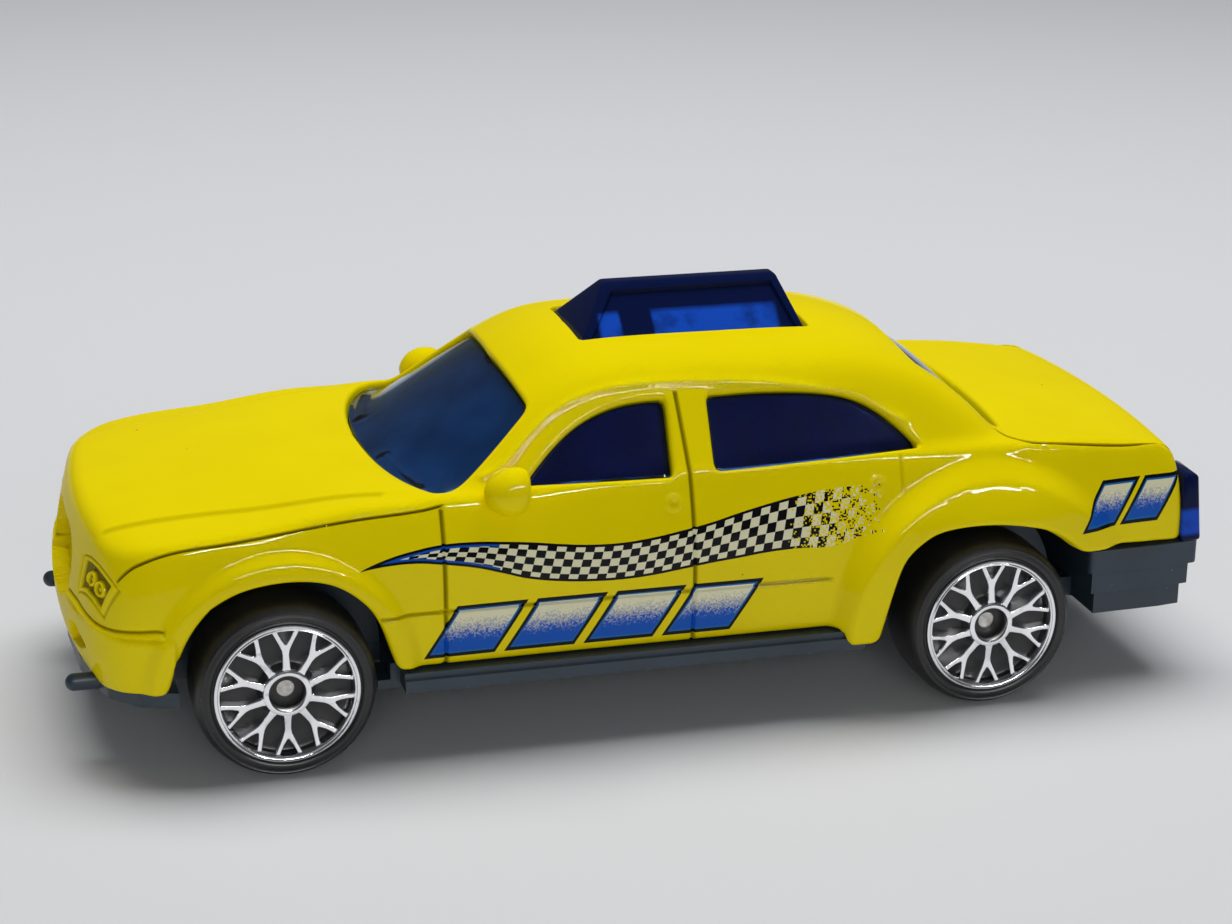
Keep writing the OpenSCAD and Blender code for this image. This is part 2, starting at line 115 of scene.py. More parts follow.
bpy.ops.mesh.primitive_plane_add(size=4.0)
floor = bpy.context.object
floor.name = "floor"
floor_paper = bpy.data.materials.new("floor_paper")
floor_paper.use_nodes = True
paper = floor_paper.node_tree.nodes["Principled BSDF"]
paper.inputs["Base Color"].default_value = (0.71, 0.72, 0.74, 1)
paper.inputs["Roughness"].default_value = 0.7
floor.data.materials.append(floor_paper)

# %% [markdown]
# ## The shell's form
# The shell is one casting with no flat face on it. It could be sculpted, or drawn as a cage for a
# subdivision surface. Here it is a rule: a function of a point that is below zero inside the
# metal and above zero outside. Sides, deck and roof are each a simple curved solid, and soft
# versions of "and" and "or" round the edges between them, as a pattern maker's sandpaper does.

# %% Curves and soft joins
def through(*points):
    """A smooth curve through (x, y) points, as a function of x."""
    xs, ys = np.array(sorted(points), float).T
    slopes = np.gradient(ys, xs)

    def value(x):
        x = np.clip(x, xs[0], xs[-1])
        i = np.clip(np.searchsorted(xs, x) - 1, 0, len(xs) - 2)
        step = xs[i + 1] - xs[i]
        t = (x - xs[i]) / step
        level = ys[i] * (1 + 2 * t) * (1 - t) ** 2 + ys[i + 1] * t * t * (3 - 2 * t)
        return level + step * t * (1 - t) * (slopes[i] * (1 - t) - slopes[i + 1] * t)

    return value


def ramp(low, high, x):
    """0 below low, 1 above high, and an S between them."""
    t = np.clip((x - low) / (high - low), 0, 1)
    return t * t * (3 - 2 * t)


def both(a, b, soft):
    """What is inside a and inside b, its edge rounded over a width."""
    near = np.maximum(soft - np.abs(a - b), 0) / soft
    return np.maximum(a, b) + near ** 3 * soft / 6


def either(a, b, soft):
    """What is inside a or inside b, with a soft hollow between them."""
    return -both(-a, -b, soft)


print("a soft edge of 1 mm takes off", round(float(both(0.0, 0.0, 1.0)), 3), "mm at its corner")

# %% Body below the windows
AXLE_Z = 5.67
FRONT_AXLE_X, REAR_AXLE_X = 24.65, -21.55
NOSE_X, TAIL_X, DOOR_Y = 37.0, -37.0, 14.0

BUMPER_STEP = 0.26

barrel = through((5, -0.5), (7, -0.2), (9.3, 0), (12, -0.1), (14, -0.45), (15.5, -0.85), (17, -1.4),
                 (19, -2.4))
nose_rake = through((5, -0.9), (6, -0.4), (7.5, -0.05), (10, 0), (12, -0.3), (13.3, -0.6), (14.3, -0.85),
                    (16.5, -1.9))
tail_rake = through((9, 0), (12, 0.05), (14, 0.3), (15.3, 0.7), (16.5, 1.4))
spine = through((38, 14.6), (36.3, 15.15), (34, 15.55), (30, 16.1), (25, 16.5), (20, 16.85), (17, 16.9),
                (10, 16.9), (-5, 17.1), (-15, 17.35), (-24, 17.45), (-30, 17.0), (-34, 16.4), (-36, 16.0),
                (-38, 15.5))


def around_axle(x, z, axle_x):
    return np.hypot(x - axle_x, np.maximum(z - AXLE_Z, 0))


def side_width(x, z):
    """How far out the side stands: door, barrel, and the two flares."""
    front_bulge = 0.45 * np.exp(-((x - FRONT_AXLE_X) / 9.0) ** 2) * (1 - 0.5 * ramp(13, 16, z))
    front_flare = 0.45 * (1 - ramp(7.8, 8.8, around_axle(x, z, FRONT_AXLE_X)))
    rear_flare = 1.45 * (1 - ramp(9.3, 10.9, around_axle(x, z, REAR_AXLE_X)))
    rear_flare = rear_flare * (1 - 0.65 * ramp(2, 9, REAR_AXLE_X - x)) * (1 - 0.45 * ramp(12.5, 16, z))
    return DOOR_Y - 0.9 * ramp(24, 36, -x) + barrel(z) + front_bulge + front_flare + rear_flare


def bumper_step(x, z):
    """The front bumper stands out a little below its upper edge."""
    return BUMPER_STEP * (1 - ramp(9.25, 9.55, z)) * ramp(31.0, 31.4, x)


def deck(x, ay):
    """Height of hood and trunk lid, with the dome's crease and the raised rear fenders."""
    droop = 0.3 + 0.45 * ramp(19, 27, x) + 0.4 * ramp(32, 37, x) + 0.1 * ramp(8, 22, -x)
    crease = 9.15 + 0.12 * np.clip(35 - x, 0, 20)
    dome = 0.15 * ramp(crease - 0.3, crease + 0.3, ay) * ramp(14, 17, x)
    lid_edge = 12.55 - 0.7 * ramp(29, 36, -x)
    fender = 0.5 * ramp(lid_edge - 0.16, lid_edge + 0.16, ay) * ramp(23.6, 24.6, -x)
    return spine(x) - droop * (ay / 13.2) ** 2 - dome + fender


def lower_body(x, y, z):
    ay = np.abs(y)
    side = ay - side_width(x, z) - bumper_step(x, z)
    nose = x - (NOSE_X - 0.0105 * ay ** 2 + nose_rake(z)) - bumper_step(x, z)
    tail = TAIL_X + 0.0055 * ay ** 2 + tail_rake(z) - x
    return both(both(both(side, nose, 6.0), tail, 1.5), z - deck(x, ay), 1.1)


print("widest, mm:", round(2 * float(side_width(np.array([REAR_AXLE_X]), np.array([9.3]))[0]), 2))

# %% Cabin and the whole form
roofline = through((16, 21.5), (10, 22.9), (6, 23.5), (2, 23.7), (-5, 23.7), (-14, 23.4), (-20, 22.6),
                   (-26, 21.2))
backline = through((-28, 12.9), (-24.2, 17.45), (-22.3, 19.45), (-19.1, 22.05), (-16, 24.2), (-10, 28.5),
                   (0, 36))


def cabin(x, y, z):
    ay = np.abs(y)
    up = np.maximum(z, 15.0)
    side = (ay - (12.75 - 0.62 * np.maximum(z - 16.9, 0) - 0.0025 * (x + 4) ** 2)) / 1.18
    screen = (up - (16.75 - 0.585 * (x - 17.6) - 0.018 * ay ** 2)) / 1.14
    roof = z - (roofline(x) + 0.1 - 0.95 * (ay / 8.5) ** 2)
    back = (up - (backline(x) - 0.012 * ay ** 2)) / 1.28
    return both(side, both(both(screen, roof, 2.0), back, 3.0), 2.0)


def form(x, y, z):
    return either(lower_body(x, y, z), cabin(x, y, z), 0.9)


print("roof top at the middle:", round(float(roofline(0.0)), 2), "mm")

# %% [markdown]
# ## Unfolding the form
# A rule has no faces. The common ways to give it some, marching cubes or a remesh, blur every
# window edge into steps. Instead the shell is unfolded onto a flat chart, like a paper pattern:
# a core rectangle in the middle is seen from straight above, and past its edge the sheet folds
# down round the roof's edge and hangs as a skirt. Each chart point is one ray, and where the ray
# leaves the form is the surface. Windows and shut lines can then be drawn flat and stay sharp.

# %% Chart and rays
CORE_LOW, CORE_HIGH, CORE_Z = (-29.5, -7.0), (29.0, 7.0), 11.0
FOLD = 12.0
FAR = 40.0


def core_of(plan):
    """The nearest place in the core, how far off it is, and in which direction."""
    core = np.clip(plan, CORE_LOW, CORE_HIGH)
    out = plan - core
    reach = np.linalg.norm(out, axis=1)
    return core, reach, out / np.maximum(reach, 1e-9)[:, None]


def rays(chart):
    """Start and direction of the ray of each chart place."""
    core, reach, out = core_of(chart)
    tilt = np.minimum(reach / FOLD, 1) * math.pi / 2
    start = np.column_stack([core, CORE_Z - np.maximum(reach - FOLD, 0)])
    return start, np.column_stack([out * np.sin(tilt)[:, None], np.cos(tilt)])


def unfold(points):
    """Chart places of points near the surface."""
    points = np.asarray(points, float)
    core, reach, out = core_of(points[:, :2])
    up = points[:, 2] - CORE_Z
    fold = np.where(up > 0, FOLD * np.arctan2(reach, up) / (math.pi / 2), FOLD - up)
    return core + out * np.where(reach < 1e-7, 0, fold)[:, None]


def first_outside(start, aim):
    """Where rays from inside leave the form, by halving."""
    near, far = np.zeros(len(start)), np.full(len(start), FAR)
    for _ in range(34):
        middle = (near + far) / 2
        outside = form(*(start + aim * middle[:, None]).T) > 0
        far = np.where(outside, middle, far)
        near = np.where(outside, near, middle)
    return start + aim * far[:, None]


def on_form(chart):
    return first_outside(*rays(chart))


def outward(points, step=0.02):
    """The form's direction of steepest rise, which is straight out of its surface."""
    slopes = [form(*(points + e).T) - form(*(points - e).T) for e in np.eye(3) * step]
    slopes = np.stack(slopes, axis=1)
    return slopes / np.linalg.norm(slopes, axis=1, keepdims=True)


corner = on_form(np.array([[0.0, 0.0], [36.0, 0.0], [0.0, 20.0]]))
print("chart samples, mm:", corner.round(2).tolist())

# %% Drawing on the form
def rounded(points, closed=False):
    """A polyline whose corners are rounded; a point is (a, b) or (a, b, radius)."""
    ends = np.array([p[:2] for p in points], float)
    radii = [p[2] if len(p) > 2 else 9.0 for p in points]
    line = []
    for i, here in enumerate(ends):
        if not closed and i in (0, len(ends) - 1):
            line.append(here)
            continue
        before, after = ends[i - 1] - here, ends[(i + 1) % len(ends)] - here
        a = here + before * min(radii[i] / np.linalg.norm(before), 0.5)
        b = here + after * min(radii[i] / np.linalg.norm(after), 0.5)
        for t in (0, 0.2, 0.4, 0.6, 0.8, 1.0):
            line.append((1 - t) ** 2 * a + 2 * t * (1 - t) * here + t * t * b)
    return np.array(line)


def even(line, step, closed=False):
    """The same line with its points evenly spaced."""
    if closed:
        line = np.vstack([line, line[:1]])
    along = np.concatenate([[0], np.cumsum(np.linalg.norm(np.diff(line, axis=0), axis=1))])
    keep = np.concatenate([[True], np.diff(along) > 1e-9])
    count = max(int(round(along[-1] / step)), 2)
    places = np.linspace(0, along[-1], count + 1)
    line = np.stack([np.interp(places, along[keep], axis[keep]) for axis in line.T], axis=1)
    return line[:-1] if closed else line


def lay(line, towards):
    """Chart places of a flat line, thrown on the form from the side, the top, the nose or the tail."""
    a, b = line.T
    zero = np.zeros_like(a)
    start, aim = {
        "side": (np.stack([a, zero, b], 1), (0, 1, 0)),
        "top": (np.stack([a, b, zero + 10], 1), (0, 0, 1)),
        "nose": (np.stack([zero + 20, a, b], 1), (1, 0, 0)),
        "tail": (np.stack([zero - 20, a, b], 1), (-1, 0, 0)),
    }[towards]
    return unfold(first_outside(start, np.tile(aim, (len(a), 1)).astype(float)))


def trace(points, towards, step=0.3, closed=False):
    return even(lay(even(rounded(points, closed), 0.15, closed), towards), step, closed)


def follow(places, step=0.3):
    """A chart line along places in space, (x, y, z) or (x, y, z, corner radius)."""
    flat = unfold([p[:3] for p in places]).tolist()
    return even(rounded([(*q, *p[3:]) for q, p in zip(flat, places)]), step)


print("a 10 mm line gets", len(trace([(0, 10), (10, 10)], "side")), "points")

# %% [markdown]
# ## Windows, arches and shut lines
# On the real casting the window openings and wheel arches are cut clean through, with a small
# round left on their edges by the paint. Boolean cuts would do it, but leave ragged normals
# round each cut. Here each opening is a line on the chart, and the mesh is made to follow it.

# %% Openings and the lower edge
SCREEN = [(17.65, 0), (17.5, 3), (17.1, 6), (16.3, 9), (15.3, 11.0), (14.4, 12.0, 0.7), (11.2, 10.7),
          (8.1, 8.9, 0.6), (8.5, 4.5), (8.7, 0)]
BACKLIGHT = [(-18.3, 0), (-18.3, 5), (-18.6, 7.4, 0.7), (-21.3, 8.6), (-23.9, 9.6, 0.8), (-24.4, 5),
             (-24.5, 0)]
FRONT_WINDOW = [(9.1, 16.85, 0.35), (7.9, 18.0), (6.4, 19.3), (4.7, 20.3), (2.7, 20.95), (0.9, 21.15),
                (-0.65, 21.15, 0.35), (-0.5, 16.7, 0.35)]
REAR_WINDOW = [(-3.35, 21.2, 0.35), (-7.0, 21.25), (-10.5, 21.0), (-12.8, 20.6), (-14.6, 19.8),
               (-16.1, 18.6), (-17.35, 17.3, 0.4), (-10.0, 17.1), (-3.25, 16.95, 0.35)]
SIGN_SLOT = [(3.5, 0), (3.4, 4.1, 0.3), (-12.3, 4.0, 0.3), (-12.3, 0)]
LOWER_EDGE = [
    (36.5, 0, 4.9, 1), (36.4, 3.5, 4.75), (35.9, 6.6, 4.66), (35.7, 8.0, 4.67), (35.4, 9.45, 4.8),
    (35.1, 10.55, 4.9), (34.45, 12.3, 5.3), (33.4, 13.4, 5.55), (32.3, 14.0, 5.62), (31.7, 14.3, 5.9, 0.7),
    (31.3, 14.7, 7.5), (30.5, 14.7, 9.4), (29.5, 14.8, 10.8), (28.0, 14.75, 11.95), (26.4, 14.7, 12.45),
    (24.3, 14.7, 12.65), (22.3, 14.7, 12.45), (20.85, 14.7, 11.85), (19.4, 14.8, 10.6), (18.6, 14.7, 9.2),
    (18.05, 14.6, 7.5), (17.6, 14.3, 6.1, 0.6), (17.0, 14.1, 5.85), (3, 14, 5.85), (-11.5, 14, 5.85, 0.3),
    (-11.8, 14, 4.9, 0.4), (-14.0, 14, 4.9, 0.6), (-14.4, 15.3, 7.1), (-14.9, 15.4, 9.35),
    (-15.5, 15.4, 10.85), (-16.6, 15.4, 11.75), (-17.7, 15.3, 12.35), (-19.95, 15.3, 12.6),
    (-22.2, 15.3, 12.5), (-24.5, 15.3, 12.1), (-25.8, 15.1, 11.65), (-27.1, 14.8, 10.8),
    (-27.95, 14.6, 10.0, 0.6), (-28.6, 14.4, 9.65, 0.6), (-30.1, 14, 9.5), (-32.6, 13.3, 9.42),
    (-35.1, 13, 9.42), (-36.6, 12.2, 9.42, 1), (-37, 8, 9.42), (-37, 0, 9.42)]

# name, line on the chart, is it a closed loop, radius of the lip
OPENINGS = [
    ("screen", trace(SCREEN, "top"), False, 0.32),
    ("backlight", trace(BACKLIGHT, "top"), False, 0.3),
    ("front_window", trace(FRONT_WINDOW, "side", closed=True), True, 0.3),
    ("rear_window", trace(REAR_WINDOW, "side", closed=True), True, 0.3),
    ("sign_slot", trace(SIGN_SLOT, "top"), False, 0.12),
]
BORDER, BORDER_LIP = follow(LOWER_EDGE), 0.34
LOOPS = [(BORDER, False)] + [(line, closed) for _, line, closed, _ in OPENINGS]
print("openings:", {name: len(line) for name, line, _, _ in OPENINGS})

# %% Shut lines, creases and marks
# line, half width, depth
GROOVES = [
    (follow([(34.3, 12.4, 12.8), (34.1, 12.5, 13.05), (33.3, 12.8, 13.75, 0.7), (32.4, 13.1, 14.15),
             (29.3, 13.4, 14.75), (25.3, 13.35, 15.2), (20.3, 13.2, 15.75), (15.9, 13.05, 15.9),
             (14.6, 12.8, 16.0)], 0.15), 0.09, 0.26),
    (trace([(14.55, 15.9), (14.5, 13), (14.5, 9.5), (14.4, 5.0)], "side"), 0.13, 0.2),
    (trace([(-1.3, 21.4), (-1.55, 17.0), (-1.65, 12.0), (-1.65, 5.0)], "side"), 0.13, 0.2),
    (trace([(-15.7, 16.9), (-15.75, 14.8)], "side"), 0.12, 0.06),
    (trace([(18.6, 9.65), (8, 9.5), (-10.6, 9.4)], "side"), 0.12, 0.14),
    (trace([(-23.3, 10.3), (-23.8, 11.6, 0.8), (-24.9, 12.33, 0.8), (-27.5, 12.39), (-31.4, 12.2),
            (-34.2, 11.78), (-35.8, 11.5)], "top", 0.15), 0.09, 0.22),
    (follow([(36.9, 4.9, 9.79), (36.75, 6.1, 9.87), (36.45, 8.7, 9.72), (36.0, 10.7, 9.57),
             (35.2, 12.5, 9.59), (33.6, 13.8, 9.8), (31.9, 14.2, 9.96)], 0.15), 0.085, 0.14),
    (trace([(34.6, 9.2), (30, 9.75), (25, 10.35), (18, 11.2)], "top"), 0.22, 0.06),
]
# line, depth: the grille's mouth and a fog lamp slot
MOUTH = trace([(0, 13.25), (2.5, 13.25), (3.8, 12.95), (5.0, 12.2), (5.35, 11.1), (5.0, 9.9), (4.2, 9.05),
               (2.5, 8.8), (0, 8.8)], "nose")
FOG_SLOT = trace([(5.7, 7.9, 0.25), (7.9, 8.45, 0.3), (9.9, 7.75, 0.3), (8.3, 7.0, 0.3), (5.3, 6.5, 0.25)],
                 "nose", 0.2, closed=True)
RECESSES = [(MOUTH, 1.4), (FOG_SLOT, 0.95)]
GRILLE_BAR = 11.5
# line, half width, height: the top of the front bumper and the drip rail over the windows
BEADS = [
    (follow([(36.9, 4.9, 9.5), (36.75, 6.1, 9.6), (36.5, 8.7, 9.45), (36.05, 10.7, 9.3),
             (35.2, 12.5, 9.32), (33.6, 13.8, 9.53), (31.9, 14.3, 9.7)], 0.15), 0.17, 0.24),
    (trace([(11.6, 11.6), (10.3, 11.65), (8.22, 10.46), (6.51, 9.86), (4.07, 9.48), (1.16, 9.4),
            (-1.74, 9.46), (-5.17, 9.63), (-9.16, 9.88), (-13.1, 10.45), (-16.4, 11.2)], "top"), 0.26, 0.15),
]
DIMPLES = lay(np.array([(-0.34, 15.2), (-14.04, 15.3)]), "side")
print(len(GROOVES), "grooves,", len(RECESSES), "recesses")

# %% Distances on the form
def inside(points, outline):
    """Which flat points an outline encloses, by counting crossings."""
    x, y = points.T
    within = np.zeros(len(points), bool)
    for (ax, ay), (bx, by) in zip(outline, np.roll(outline, -1, axis=0)):
        if ay != by:
            within ^= ((ay > y) != (by > y)) & (x < (bx - ax) * (y - ay) / (by - ay) + ax)
    return within


def gap_to(points, line, closed=False, limit=0.8):
    """Distance of each point in space to a line drawn on the chart; far ones just say the limit."""
    line = on_form(line)
    near = np.all((points > line.min(0) - limit) & (points < line.max(0) + limit), axis=1)
    close = points[near]
    best = np.full(len(close), limit)
    ends = np.vstack([line, line[:1]]) if closed else line
    for a, b in zip(ends[:-1], ends[1:]):
        ab = b - a
        t = np.clip((close - a) @ ab / max(ab @ ab, 1e-12), 0, 1)
        best = np.minimum(best, np.linalg.norm(close - a - t[:, None] * ab, axis=1))
    gaps = np.full(len(points), limit)
    gaps[near] = best
    return gaps


def rows_beside(line, offsets, closed=False):
    """Chart lines that run beside a line, at distances measured on the form."""
    if closed:
        along = np.roll(line, -1, axis=0) - np.roll(line, 1, axis=0)
    else:
        along = np.gradient(line, axis=0)
    along = along / np.linalg.norm(along, axis=1, keepdims=True)
    across = np.stack([-along[:, 1], along[:, 0]], axis=1)
    stretch = np.linalg.norm(on_form(line + across * 0.05) - on_form(line), axis=1) / 0.05
    return np.vstack([line + across * (o / stretch)[:, None] for o in offsets])


HEADLIGHT = lay(np.array([(8.0, 12.75), (12.3, 12.55), (11.7, 10.3), (7.6, 10.75)]), "nose")


def in_headlight(chart):
    """Place in the headlight's own slanted frame: -1 to 1 across, and -1 to 1 up."""
    middle = HEADLIGHT.mean(0)
    across = (HEADLIGHT[1] + HEADLIGHT[2] - HEADLIGHT[0] - HEADLIGHT[3]) / 4
    up = (HEADLIGHT[0] + HEADLIGHT[1] - HEADLIGHT[2] - HEADLIGHT[3]) / 4
    return (chart - middle) @ np.linalg.inv(np.stack([across, up]))


FRAME_LINE, BED_DEPTH, RIB_HEIGHT = 0.14, 0.26, 0.06
# place across and up, in the headlight's frame
LAMPS_AT = [(-0.10, 0.0), (0.50, -0.04)]
LAMP_SIZE, LAMP_RING, LAMP_DOME = 0.44, 0.30, 0.2


def headlight_relief(chart):
    """A sunk frame line, a sunk bed with ribs, and two round lamps standing in it."""
    u, v = in_headlight(chart).T
    edge = 1 - np.maximum(np.abs(u), np.abs(v))
    bed = ramp(0.08, 0.26, edge)
    ribs = RIB_HEIGHT * np.cos(u * 20) * ramp(0.1, -0.3, u)
    relief = -FRAME_LINE * np.exp(-((edge + 0.10) / 0.075) ** 2) + bed * (ribs - BED_DEPTH)
    for lamp_u, lamp_v in LAMPS_AT:
        r = np.hypot((u - lamp_u) * 2.0, (v - lamp_v) * 1.15) / LAMP_SIZE
        lamp = LAMP_RING * np.exp(-((r - 1) / 0.24) ** 2) + LAMP_DOME * np.maximum(1 - (r / 0.7) ** 2, 0)
        relief = relief + np.where(r < 1.7, lamp, 0) * bed
    return np.where(edge > -0.4, relief, 0)


def in_recess(chart, line):
    """Is a place inside a recess? One on the middle line is tested just beside it."""
    return inside(chart + (0, 1e-4), line)


def relief(chart, points):
    """How far the paint stands off the plain form, by shut lines, lips and marks."""
    height = headlight_relief(chart)
    for line, width, depth in GROOVES:
        gap = gap_to(points, line) / (width * 1.4)
        height -= depth * np.where(gap < 1, 0.5 + 0.5 * np.cos(gap * math.pi), 0)
    for line, depth in RECESSES:
        gap = gap_to(points, line, limit=0.3)
        height -= depth * ramp(0.09, -0.16, gap * np.where(in_recess(chart, line), -1, 1))
    bar = ramp(0.45, 0.25, np.abs(points[:, 2] - GRILLE_BAR)) * in_recess(chart, MOUTH)
    height += 0.4 * bar * ramp(-0.05, 0.25, gap_to(points, MOUTH, limit=0.3))
    for line, width, rise in BEADS:
        gap = gap_to(points, line, limit=2 * width) / width
        height += rise * np.exp(-gap ** 2) * (gap < 2)
    for mark in on_form(DIMPLES):
        r = np.linalg.norm(points - mark, axis=1)
        height += 0.12 * np.exp(-((r - 0.42) / 0.14) ** 2) - 0.10 * np.exp(-(r / 0.2) ** 2)
    for _, line, closed, lip in OPENINGS + [("border", BORDER, False, BORDER_LIP)]:
        gap = np.minimum(gap_to(points, line, closed, limit=lip), lip)
        height -= lip - np.sqrt(lip ** 2 - (lip - gap) ** 2)
    return height


def painted_crease_shade(chart, points):
    """Painted shade, from 0 to 1, where shade falls: shut lines, recesses, headlights."""
    crease_shade = ramp(-0.05, -0.24, headlight_relief(chart))
    for line, width, depth in GROOVES:
        gap = gap_to(points, line) / (width * 1.3)
        crease_shade = np.maximum(crease_shade, np.clip(1.25 - gap, 0, 1) * min(depth / 0.22, 1))
    for line, _ in RECESSES:
        sunk = in_recess(chart, line) * ramp(0.02, 0.3, gap_to(points, line, limit=0.4))
        crease_shade = np.maximum(crease_shade, 0.62 * sunk)
    return crease_shade


print("headlight spans", np.ptp(HEADLIGHT, axis=0).round(2), "mm on the chart")

# %% [markdown]
# ## From chart to mesh
# A constrained Delaunay triangulation joins scattered points into triangles and keeps given edges.
# Points are put where they are needed: rows beside every line, a fine grid where the form bends,
# and a coarse one where it is nearly flat. That is how a surveyor draws a hill with few triangles.

# %% Spreading points
def grid(step, low, high):
    """Points on a grid with every second row shifted by half a step."""
    rows = np.arange(low[1] + step * 0.4, high[1], step * 0.866)
    columns = np.arange(low[0], high[0], step)
    across, up = np.meshgrid(columns, rows)
    across = across + step / 2 * (np.arange(len(rows)) % 2)[:, None]
    return np.stack([across.ravel(), up.ravel()], axis=1)


def bend(chart, reach):
    """How much the form's direction changes over a short reach, in radians."""
    middle = outward(on_form(chart))
    turns = [np.linalg.norm(outward(on_form(chart + e)) - middle, axis=1) for e in np.eye(2) * reach]
    return np.maximum(*turns)


def spread(border, coarse, fine, sharp=0.10):
    """Grid points within a border, finer where the form bends more than sharp over a coarse step."""
    low, high = border.min(0), border.max(0)
    wide, narrow = grid(coarse, low, high), grid(fine, low, high)
    wide, narrow = wide[inside(wide, border)], narrow[inside(narrow, border)]
    if fine == coarse:
        return wide
    cell = lambda q: list(map(tuple, np.floor(q / coarse).astype(int)))
    bent = set(cell(wide[bend(wide, coarse) > sharp]))
    in_bend = lambda q: np.array([k in bent for k in cell(q)])
    return np.vstack([wide[~in_bend(wide)], narrow[in_bend(narrow)]])


def thin(points, apart):
    """Drops points that share a small cell with an earlier one."""
    _, first = np.unique(np.round(points / apart).astype(int), axis=0, return_index=True)
    return points[np.sort(first)]


print("a 10 mm square takes", len(grid(0.5, (0, 0), (10, 10))), "grid points")

# %% Joining points
def triangles(points, loops):
    """Triangles that keep the loops' edges, inside the first loop and outside the others."""
    corners, edges = [], []
    for line, closed in loops:
        first = sum(len(c) for c in corners)
        corners.append(line)
        ids = list(range(first, first + len(line)))
        edges += list(zip(ids, ids[1:])) + ([(ids[-1], ids[0])] if closed else [])
    every = np.vstack(corners + [points])
    result = delaunay_2d_cdt([Vector(p) for p in every.tolist()], edges, [], 0, 1e-7)
    places = np.array([tuple(v) for v in result[0]])
    faces = np.array(result[2])
    middle = places[faces].mean(axis=1)
    keep = inside(middle, loops[0][0])
    for hole, _ in loops[1:]:
        keep &= ~inside(middle, hole)
    faces = faces[keep]
    a, b, c = (places[faces[:, i]] for i in range(3))
    area = (b[:, 0] - a[:, 0]) * (c[:, 1] - a[:, 1]) - (b[:, 1] - a[:, 1]) * (c[:, 0] - a[:, 0])
    faces = np.where((area < 0)[:, None], faces[:, ::-1], faces)[np.abs(area) > 1e-9]
    used = np.unique(faces)
    renumber = np.zeros(len(places), int)
    renumber[used] = np.arange(len(used))
    return places[used], renumber[faces]


def rim(places, faces):
    """Edges with one triangle, as (from, to), without those on the middle line."""
    edges = np.vstack([faces[:, [0, 1]], faces[:, [1, 2]], faces[:, [2, 0]]])
    ordered = np.sort(edges, axis=1)
    _, first, count = np.unique(ordered, axis=0, return_index=True, return_counts=True)
    edges = edges[first[count == 1]]
    return edges[~np.all(np.abs(places[edges][:, :, 1]) < 1e-6, axis=1)]


def close_shell(outer, faces_out, inner, faces_in, rim_out, rim_in):
    """Outer skin, inner skin turned over, and the wall between their rims."""
    shift = len(outer)
    wall = [(b, a, ia + shift, ib + shift) for (a, b), (ia, ib) in zip(rim_out.tolist(), rim_in)]
    return np.vstack([outer, inner]), faces_out.tolist() + (faces_in[:, ::-1] + shift).tolist() + wall


def mirrored(verts, faces):
    """Adds the other half, sharing the points on the middle line."""
    middle = np.abs(verts[:, 1]) < 1e-6
    twin = np.where(middle, np.arange(len(verts)), len(verts) + np.cumsum(~middle) - 1)
    other = verts[~middle] * (1, -1, 1)
    return np.vstack([verts, other]), faces + [tuple(int(twin[i]) for i in reversed(f)) for f in faces]


def join_meshes(*parts):
    """One list of vertices and faces from several."""
    verts, faces, shift = [], [], 0
    for part_verts, part_faces in parts:
        verts.append(np.asarray(part_verts, float))
        faces += [tuple(int(i) + shift for i in f) for f in part_faces]
        shift += len(part_verts)
    return np.vstack(verts), faces


def other_side(verts, faces):
    """The same shape across the middle, its faces turned so that they still point out."""
    return np.asarray(verts) * (1, -1, 1), [tuple(reversed(f)) for f in faces]


def both_sides(verts, faces):
    return join_meshes((verts, faces), other_side(verts, faces))


def band(rows, columns, steps):
    """Four-sided faces that join each row of points, a closed loop, to the next."""
    pairs = [(i * columns, (i + 1) % rows * columns) for i in range(steps)]
    sides = [(j, (j + 1) % columns) for j in range(columns)]
    return [(a + j, a + k, b + k, b + j) for a, b in pairs for j, k in sides]


def piece(name, verts, faces, smooth=50.0):
    """A mesh object from millimetres, smooth except where faces meet more sharply than an angle."""
    mesh = bpy.data.meshes.new(name)
    mesh.from_pydata((np.asarray(verts, float) * MM).tolist(), [], [list(map(int, f)) for f in faces])
    mesh.polygons.foreach_set("use_smooth", [True] * len(mesh.polygons))
    mesh.set_sharp_from_angle(angle=math.radians(smooth))
    mesh.validate()
    print(f"{name}: {sum(len(p.vertices) - 2 for p in mesh.polygons)} triangles")
    return put(name, mesh)


# %% Points for the shell
BESIDE_EDGE = (-0.33, -0.22, -0.13, -0.05, 0.05, 0.13, 0.22, 0.33)
BESIDE_RECESS = (-0.3, -0.2, -0.12, -0.06, 0, 0.06, 0.12, 0.2)
ACROSS_GROOVE = np.array((-1.9, -1.35, -0.9, -0.45, 0, 0.45, 0.9, 1.35, 1.9))
ACROSS_BEAD = np.array((-2, -1.4, -0.9, -0.45, 0, 0.45, 0.9, 1.4, 2))


def away_from(points, lines, gap):
    """The points that stand further than a gap from every line."""
    places = on_form(points)
    keep = np.ones(len(points), bool)
    for line, closed in lines:
        keep &= gap_to(places, line, closed, limit=gap + 0.05) > gap
    return points[keep]


def on_middle(line, back, front, step):
    """Points along the middle, between the ends of a line and a little short of them."""
    along = np.arange(line[-1, 0] + back, line[0, 0] - front, step)
    return np.stack([along, np.zeros_like(along)], axis=1)


def by_headlight(chart, reach):
    return np.max(np.abs(in_headlight(chart)), axis=1) < reach


rows = [rows_beside(line, BESIDE_EDGE, closed) for line, closed in LOOPS]
rows += [rows_beside(line, ACROSS_GROOVE * width) for line, width, _ in GROOVES]
rows += [rows_beside(line, ACROSS_BEAD * width) for line, width, _ in BEADS]
rows += [rows_beside(line, BESIDE_RECESS) for line, _ in RECESSES]
rows = away_from(thin(np.vstack(rows), 0.045), LOOPS, 0.035)

